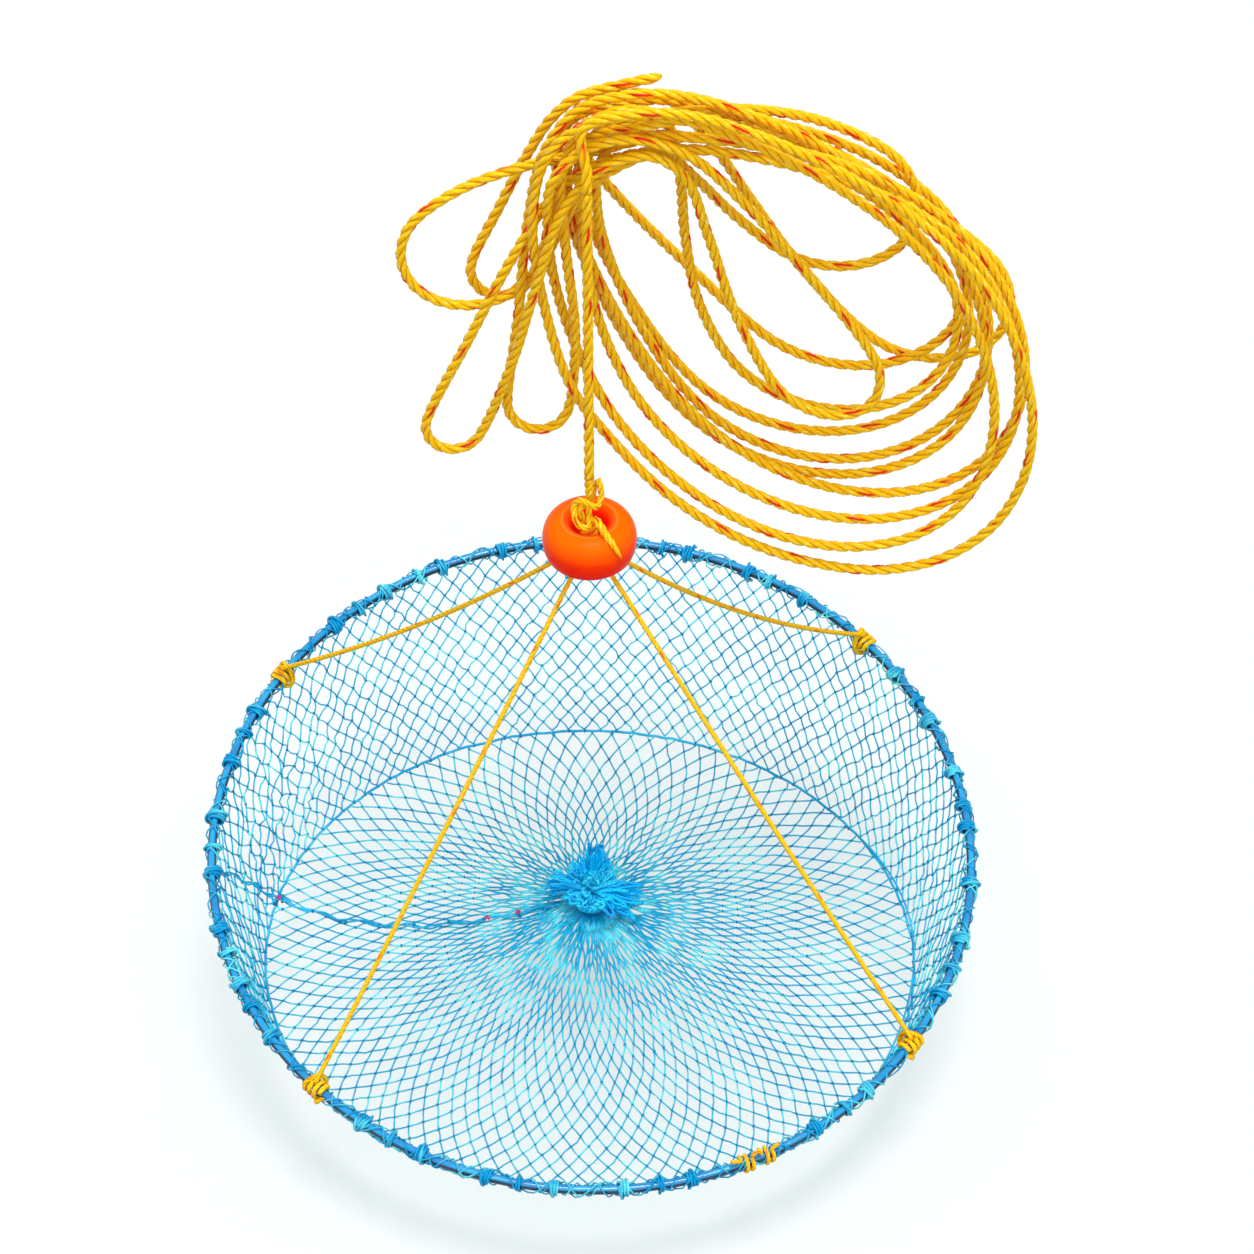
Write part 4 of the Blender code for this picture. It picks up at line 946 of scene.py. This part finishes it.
# the net: knotted diamonds, in a crescent above the seam and a round base below it
net = {
    "baseMeshes": 100,
    "baseStep": 0.0085,
    "skirtMeshes": 122,
    "rows": 40,  # at most
    "skirtStep": 0.0058,
    "twineRadius": 0.0005,
    "knotRadius": 0.0011,
    "knotLeast": 0.1,
    "crowdSpan": 0.085,
    "gatheredSpan": 0.014,
    "leastBar": 0.1,  # of a whole one, where the panel's edge cuts it
    "seamHalfWidth": 0.187,
    "seamFront": 0.209,
    "seamBack": 0.118,
    "depthBack": 0.055,
    "depthFront": 0.015,
    "seamRadius": 0.001,
    "skirtSag": 0.004,
    "baseSag": 0.007,
    "ripples": ((0.0012, 9, 2.0, 0), (0.0009, 17, 0, 5)),  # height, number round the rim, start and slant
    "creaseRipples": ((0.0030, 16, 0, 4),),
    "baseRipples": ((0.0014, 7, 1.0, 0),),
    "crease": (math.radians(156), math.radians(14)),  # its middle and width
    "creaseFall": 0.003,
    "rimGap": 0.0006,
    "neckGap": 0.0009,
    "gatherDepth": 0.038,
    "gatherSetBack": -0.011,
    "neckRadius": 0.0085,
}


def seamPoint(azimuth, outward=0.0):
    halfLength = (net["seamBack"] + net["seamFront"]) / 2
    shift = (net["seamBack"] - net["seamFront"]) / 2
    deeper = net["depthBack"] - net["depthFront"]
    depth = net["depthFront"] + deeper * math.sqrt((1 + math.sin(azimuth)) / 2)
    across = (net["seamHalfWidth"] + outward) * math.cos(azimuth)
    return np.array([across, shift + (halfLength + outward) * math.sin(azimuth), -depth])


def atGather(reach, azimuth, rise=0.0):
    return onCircle(reach, azimuth, rise - net["gatherDepth"]) + (0.0, net["gatherSetBack"], 0.0)


def waves(rows, azimuth, share=0.0):
    return sum(height * math.sin(count * azimuth + start + slant * share)
               for height, count, start, slant in rows)


def skirtPoint(azimuth, share):
    # slack hangs in the skirt with even ripples all round, and a soft crease at the back left
    inner = seamPoint(azimuth, net["seamRadius"])
    outer = onCircle(hoop["radius"] - hoop["rodRadius"] - net["rimGap"], azimuth)
    slack = net["skirtSag"] * min(1.0, np.linalg.norm(outer - inner) / (hoop["radius"] - net["seamBack"]))
    crease = hump(azimuth, *net["crease"]) * (waves(net["creaseRipples"], azimuth, share) - net["creaseFall"])
    rise = (waves(net["ripples"], azimuth, share) + crease) * math.sin(math.pi * share) ** 0.8
    point = outer + (inner - outer) * share
    point[2] -= slack * 4 * share * (1 - share)
    point[2] += rise * min(1.0, slack / net["skirtSag"])
    return point


def basePoint(azimuth, share):
    point = seamPoint(azimuth, -net["seamRadius"])
    point = point + (atGather(net["neckRadius"] + net["neckGap"], azimuth) - point) * share
    point[2] -= net["baseSag"] * 4 * share * (1 - share)
    point[2] += waves(net["baseRipples"], azimuth) * math.sin(math.pi * share)
    return point


def knotShape():
    bpy.ops.object.select_all(action="DESELECT")
    bpy.ops.mesh.primitive_ico_sphere_add(subdivisions=1, radius=1.0)
    model = bpy.context.object
    verts = np.array([vertex.co[:] for vertex in model.data.vertices]) * (1.0, 0.82, 0.7)
    faces = np.array([face.vertices[:] for face in model.data.polygons])
    bpy.data.objects.remove(model, do_unlink=True)
    return verts, faces


knotVerts, knotFaces = knotShape()


def spreadKnots(places, sizes):
    verts, faces = [], []
    for order, (place, size) in enumerate(zip(places, np.broadcast_to(sizes, len(places)))):
        turn = np.array(Euler([dice.uniform(0, math.pi) for axis in range(3)]).to_matrix())
        verts.append(knotVerts @ turn.T * size * dice.uniform(0.85, 1.15) + place)
        faces.append(knotFaces + order * len(knotVerts))
    return np.vstack(verts), np.vstack(faces)


def jitter(size, flat=0.7):
    return np.array([dice.gauss(0, size), dice.gauss(0, size), dice.gauss(0, size * flat)])


def thread(points, step, radius):
    return tube(smoothRoute(points, step), radius)


def knottedPanel(name, pointAt, meshes, step, looseAt, knotsFrom, closing=0.0, gathered=0.0):
    # rows of knots from the inner edge outward, closer at the front. The last bars end on the outer edge
    pitch = 2 * math.pi / meshes
    spans, places, bars, knots, knotSizes = {}, {}, [], [], []

    def shareOf(row, index):
        azimuth = (index % meshes + row % 2 / 2) * pitch
        if azimuth not in spans:
            spans[azimuth] = np.linalg.norm(pointAt(azimuth, 0.0) - pointAt(azimuth, 1.0))
        rise = row * step / spans[azimuth]
        tighten = closing * max(0.0, -math.sin(azimuth))
        return azimuth, 1 - rise - tighten * rise * (1 - min(rise, 1.0))

    def placeOf(row, index):
        key = (row, index % meshes)
        if key not in places:
            azimuth, share = shareOf(*key)
            inside = math.sin(math.pi * max(0.0, min(1.0, share))) ** 0.3  # none at the edges
            places[key] = fromHoop(pointAt(azimuth, share) + jitter(looseAt(azimuth, row * step)) * inside)
        return places[key]

    for row in range(net["rows"]):
        for index in range(meshes):
            azimuth, share = shareOf(row, index)
            if share <= 0.0:
                continue
            if row >= knotsFrom:
                knots.append(placeOf(row, index))
                crowd = min(1.0, net["knotLeast"] + row * step / net["crowdSpan"]) if gathered else 1.0
                knotSizes.append(net["knotRadius"] * crowd)  # smaller where they crowd
            for ahead in ((0, -1) if row % 2 == 0 else (0, 1)):
                nextAzimuth, nextShare = shareOf(row + 1, index + ahead)
                if nextShare > 0.0:
                    end = placeOf(row + 1, index + ahead)
                else:
                    part = share / (share - nextShare)
                    if part < net["leastBar"]:
                        continue
                    around = (nextAzimuth - azimuth + math.pi) % (2 * math.pi) - math.pi
                    end = fromHoop(pointAt(azimuth + around * part, 0.0))
                start = placeOf(row, index)
                bow = jitter(0.0002 + 0.5 * looseAt(azimuth, row * step))
                route = np.array([start, (start + end) / 2 + bow, end])
                thick = net["twineRadius"] * (1 + gathered * math.exp(-row * step / net["gatheredSpan"]))
                bars.append(tube(route, thick, sides=5, spin=350.0, tag=0.35 * dice.random()))
    panel = ringMesh(name, bars, spreadKnots(knots, knotSizes))
    print(name, len(bars), "bars", len(knots), "knots")
    return panel


def baseLoose(azimuth, out):
    return 0.0002 + 0.0012 * math.exp(-out / 0.03)  # loosest at the gather


def skirtLoose(azimuth, out):
    return 0.0005 + 0.0007 * hump(azimuth, math.radians(160), math.radians(22))  # loosest at the crease


netBase = knottedPanel("netBaseTwine", basePoint, net["baseMeshes"], net["baseStep"], baseLoose, 4,
                       closing=0.27, gathered=0.6)
finishPiece(netBase, netTwine, "net", "net_twine", "net_base")
netSkirt = knottedPanel("netSkirtTwine", skirtPoint, net["skirtMeshes"], net["skirtStep"], skirtLoose, 1)
finishPiece(netSkirt, netTwine, "net", "net_twine", "net_skirt")
print("net knotted")

# the seam cord, with a small knot where the meshes are tied to it, and a second twine along its right side
seam = {
    "radius": 0.0008,
    "slack": 0.00025,
    "knotRadius": 0.00135,
    "knotShare": 0.8,  # of the meshes
    "secondRadius": 0.0006,
    "second": (-34, 41),  # degrees
    "weave": 0.0016,
}
count = 2 * net["skirtMeshes"]
seamRoute = fromHoop([seamPoint(2 * math.pi * index / count) for index in range(count)])
seamRoute = seamRoute + np.array([jitter(seam["slack"]) for point in seamRoute])
tied = [place for place in seamRoute[::2] if dice.random() < seam["knotShare"]]
seamKnots = spreadKnots(tied, seam["knotRadius"])
doubled = []
for degrees in range(*seam["second"], 2):
    aside = seam["weave"] * math.sin(math.radians(degrees * 6))
    doubled.append(fromHoop(seamPoint(math.radians(degrees), aside)) + (0.0, 0.0, seam["weave"]))
seamTube = tube(seamRoute, seam["radius"], sides=8, closed=True, spin=200.0)
seamCord = ringMesh("seamCordTwine", [seamTube, tube(doubled, seam["secondRadius"])], seamKnots)
finishPiece(seamCord, seamTwine, "net", "seam_twine", "net_seam_cord")

# the side lacing from the rim to the gather: two loose twines crossing, with knots along them
lacing = {
    "rim": 184.6,  # degrees
    "crossing": 167.0,
    "gather": 182.0,
    "bow": 3.0,
    "seamShare": 0.3,
    "reach": 0.97,
    "points": 60,
    "radius": 0.0006,
    "lift": 0.0024,
    "waves": (62, 0.0013, 0.0006),  # rate, and how far aside and up
    "knotRadius": 0.0015,
    "crossingKnots": 9,
    "endRadius": 0.00055,
    "ends": 5,
    "endLength": 0.008,
    "dyedPlaces": (0.3, 0.80, 0.87),
}


def lacingPoint(share):
    if share < lacing["seamShare"]:
        part = share / lacing["seamShare"]
        return skirtPoint(math.radians(lacing["rim"] + (lacing["crossing"] - lacing["rim"]) * part), part)
    part = (share - lacing["seamShare"]) / (1 - lacing["seamShare"])
    degrees = lacing["crossing"] + (lacing["gather"] - lacing["crossing"]) * part
    degrees += lacing["bow"] * math.sin(math.pi * part)
    return basePoint(math.radians(degrees), part)


def overLacing(share, rise, aside=0.0):
    return fromHoop(lacingPoint(share) + (0.0, aside, rise))


tracks = ([], [])
rate, sway, bob = lacing["waves"]
for index in range(lacing["points"] + 1):
    share = index / lacing["points"] * lacing["reach"]
    for track, sign in zip(tracks, (1, -1)):
        rise = lacing["lift"] + bob * math.cos(share * rate) * sign
        track.append(overLacing(share, rise, sway * math.sin(share * rate + sign) * sign) + jitter(0.0002))
crossing = overLacing(lacing["seamShare"], lacing["lift"])
laceKnots = tracks[0][4:lacing["points"]:5]
laceKnots += [crossing + jitter(0.0018) for number in range(lacing["crossingKnots"])]
ends = []
for number in range(lacing["ends"]):  # cut ends that stand from the knot at the crossing
    way = (unit(jitter(1.0)) * (1, 1, 0.3) + (0.0, 0.0, 0.3)) * lacing["endLength"]
    route = [crossing, crossing + way / 2, crossing + way + jitter(0.0015)]
    ends.append(thread(route, 0.0015, lacing["endRadius"]))
laces = [thread(track, 0.002, lacing["radius"]) for track in tracks]
sideLace = ringMesh("sideLacingTwine", laces + ends, spreadKnots(laceKnots, lacing["knotRadius"]))
finishPiece(sideLace, seamTwine, "net", "seam_twine", "net_side_seam")

# odd ends of dyed thread left in the lacing
threads = []
for share in lacing["dyedPlaces"]:
    middle = overLacing(share, lacing["lift"] + 0.0012)
    for number in range(3):
        way = unit(jitter(1.0)) * (1.0, 1.0, 0.25)
        route = [middle - way * 0.0016, middle + (0.0, 0.0, 0.0008), middle + way * 0.0018]
        threads.append(thread(route, 0.0006, lacing["endRadius"]))
oddEnds = ringMesh("oddThreadEnds", threads)
# dyed thread: matt, pink to purple
# its purple third colour is painted shade between the plies
dyedThread = twineMaterial("dyedThread", "#C02868", "#D84890", "#7A2080", "#6A2A90", 0.5, 2)
finishPiece(oddEnds, dyedThread, "net", "seam_twine")
print("seams laced")

# the rim: lashings over the edge of the net where their solids are, more between them, and three thin
# twines laced along
rim = {
    "twineRadius": 0.00082,
    "laceRadius": 0.00048,
    "turns": 3,
    "smallTurns": 2,
    "smallShare": 0.85,  # of the twine's radius
    "between": (1, 3, 6, 8, 10, 12, 13, 16, 18, 20, 21, 24, 26, 28, 31, 34),  # tens of degrees
    "laces": ((1, 96, 0.00055), (-1, 83, 0.0010), (1, 47, 0.0014)),  # sense, turns round the rod and lift
}
ties = [math.radians(degrees) for degrees, sag in bridle["ties"].values()]
ties.append(math.radians(sum(spare["places"]) / 2))
middles = [math.radians(10 * (index + 0.5)) for index in range(36)]
wrapAzimuths = [middle for middle in middles if min(abs(middle - tie) for tie in ties) > math.radians(5)]


def lashing(azimuth, turns, size):
    place = rimFrame(azimuth)
    outward, upward, along = place[1:]
    start = dice.uniform(0, 2 * math.pi)
    bulge, lean = dice.uniform(0.0006, 0.0012), dice.uniform(-0.5, 0.5)
    rows = [(i, hoop["rodRadius"] + size + 0.0002, i / 10 - turns / 2) for i in range(turns * 10 + 1)]
    over = hoop["rodRadius"] + 2.9 * size
    rows += [(i, over, turns / 2 - turns * i / 8) for i in range(1, 9)]  # the last turn crosses the others
    points = []
    for number, (i, reach, shift) in enumerate(rows):
        turn = start + 2 * math.pi * i / 10
        sway = 0.0008 * lean * math.cos(turn) if number <= turns * 10 else 0.0
        reach += bulge * max(0.0, -math.cos(turn)) ** 2
        points.append(roundRod(place, turn, reach, 2.05 * size * shift + sway))
    way = upward * dice.uniform(-0.4, 0.4) - outward * 0.5 + along * dice.uniform(-1, 1)
    points.append(points[-1] + way * 0.002)
    return thread(points, 0.0011, size)


for number, azimuth in enumerate(wrapAzimuths):
    turns = lashing(azimuth, rim["turns"], rim["twineRadius"] * dice.uniform(0.9, 1.15))
    wrap = ringMesh(f"rimLashing_{number + 1:02d}", [turns])
    finishPiece(wrap, wrapTwine, "net", "net_twine", f"rim_wrap_{number + 1:02d}")

between = [math.radians(10 * index) + dice.uniform(-0.02, 0.02) for index in rim["between"]]
small = [lashing(azimuth, rim["smallTurns"], rim["twineRadius"] * rim["smallShare"]) for azimuth in between]
smallWraps = ringMesh("rimSmallLashings", small)
finishPiece(smallWraps, wrapTwine, "net", "net_twine")

laces = []
for handed, turnsRound, lift in rim["laces"]:
    route = []
    count = turnsRound * 9
    for i in range(count):
        azimuth = 2 * math.pi * i / count
        turn = handed * 2 * math.pi * i / 9 + 1.2 * math.sin(5 * azimuth) + 0.6 * math.sin(23 * azimuth)
        slack = 0.0003 * max(0.0, math.sin(31 * azimuth + handed)) + 0.0004 * max(0.0, -math.cos(turn)) ** 2
        route.append(roundRod(rimFrame(azimuth), turn, hoop["rodRadius"] + lift + slack))
    laces.append(tube(np.array(route), rim["laceRadius"], sides=5, closed=True, spin=300.0))
rimLace = ringMesh("rimLacingTwine", laces)
finishPiece(rimLace, wrapTwine, "net", "net_twine")
print("rim lashed:", len(wrapAzimuths) + len(between), "lashings")

# the gather: the neck's strands, its tie, and the loose loops above it
tuft = {
    "neckHeight": 0.0115,
    "tieRadius": 0.0011,
    "tieTurns": 2,
    "tieFoot": 0.0026,
    "tiePitch": 0.0028,
    "neckStrands": 44,
    "neckTwine": 0.0007,
    "knotRadius": 0.0011,
    # heading and rise in degrees, then reach, width and twine radius in millimetres, fan, droop share
    # and number of loops
    "bunches": (
        (-3, 12, 27, 1.6, 0.70, 0.11, 0.24, 16),
        (-28, 4, 25, 2.2, 0.78, 0.13, 0.22, 14),
        (82, 60, 27, 1.6, 0.70, 0.13, 0.02, 16),
        (60, 48, 20, 1.8, 0.75, 0.20, 0.10, 10),
        (172, 22, 25, 1.6, 0.72, 0.13, 0.14, 14),
        (135, 44, 19, 2.0, 0.75, 0.22, 0.08, 14),
        (108, 46, 18, 2.0, 0.80, 0.24, 0.05, 12),
        (200, 34, 15, 3.2, 0.90, 0.28, 0.25, 8),
        (236, 36, 15, 3.4, 0.92, 0.28, 0.28, 8),
        (272, 36, 14, 3.2, 0.92, 0.28, 0.30, 8),
        (312, 30, 17, 3.0, 0.88, 0.25, 0.28, 9),
        (30, 36, 18, 2.2, 0.80, 0.22, 0.15, 10),
        (90, 82, 15, 2.6, 0.82, 0.45, 0.0, 16),
    ),
}
root = np.array([0.0, net["gatherSetBack"], -net["gatherDepth"] + tuft["neckHeight"]])
loops = []
for heading, rise, reach, width, twineRadius, fan, droop, count in tuft["bunches"]:
    heading, rise = math.radians(heading), math.radians(rise)
    main = onCircle(math.cos(rise), heading, math.sin(rise))
    for number in range(count):
        way = unit(main + jitter(fan, 0.8))
        length = reach / 1000 * dice.uniform(0.7, 1.0)
        across = unit(np.cross(way, np.array([dice.gauss(0, 0.6), dice.gauss(0, 0.6), 1.0])))
        bend = unit(np.cross(way, across)) * length * dice.uniform(-0.16, 0.16)
        bend = bend + across * length * dice.uniform(-0.12, 0.12)
        half = width / 2000 * dice.uniform(0.8, 1.3)
        foot = root + onCircle(1.0, heading) * dice.uniform(0.001, 0.005) + jitter(0.0012)
        points = []
        for i in range(15):
            turn = math.pi * i / 14
            out = math.sin(turn)
            aside = across * half * math.cos(turn) * (0.7 + 1.1 * out)
            points.append(foot + way * length * out ** 0.8 + aside + bend * out ** 2
                          - np.array([0.0, 0.0, droop * length * out ** 2]) + jitter(0.00025))
        thick = twineRadius / 1000 * dice.uniform(0.85, 1.2)
        loops.append(tube(fromHoop(points), thick, spin=200.0, tag=0.6 * dice.random() ** 2))
for number in range(tuft["neckStrands"]):  # the neck inside the tie
    azimuth = 2 * math.pi * number / tuft["neckStrands"]
    reach = net["neckRadius"] - 0.0006
    foot = atGather(reach, azimuth, -0.0015)
    top = atGather(0.8 * reach, azimuth + 0.3, tuft["neckHeight"] + 0.002)
    loops.append(tube(fromHoop([foot, (foot + top) / 2, top]), tuft["neckTwine"], spin=200.0))
tips = [loop["centres"][6] for loop in loops[:120:4]]
tuftLoops = ringMesh("tuftLoops", loops, spreadKnots(tips, tuft["knotRadius"]))
finishPiece(tuftLoops, tuftTwine, "net", "gathered_twine", "net_tuft")
coil = net["neckRadius"] + 0.0003 + tuft["tieRadius"]
tieRoute = []
for i in range(16 * tuft["tieTurns"] + 1):
    tieRoute.append(atGather(coil, 2 * math.pi * i / 16, tuft["tieFoot"] + tuft["tiePitch"] * i / 16))
tuftTie = ringMesh("tuftTieCord", [tube(fromHoop(tieRoute), tuft["tieRadius"], sides=8, spin=180.0)])
finishPiece(tuftTie, tuftTwine, "net", "gathered_twine", "net_tuft_tie")
print("tuft gathered:", len(loops), "loops")
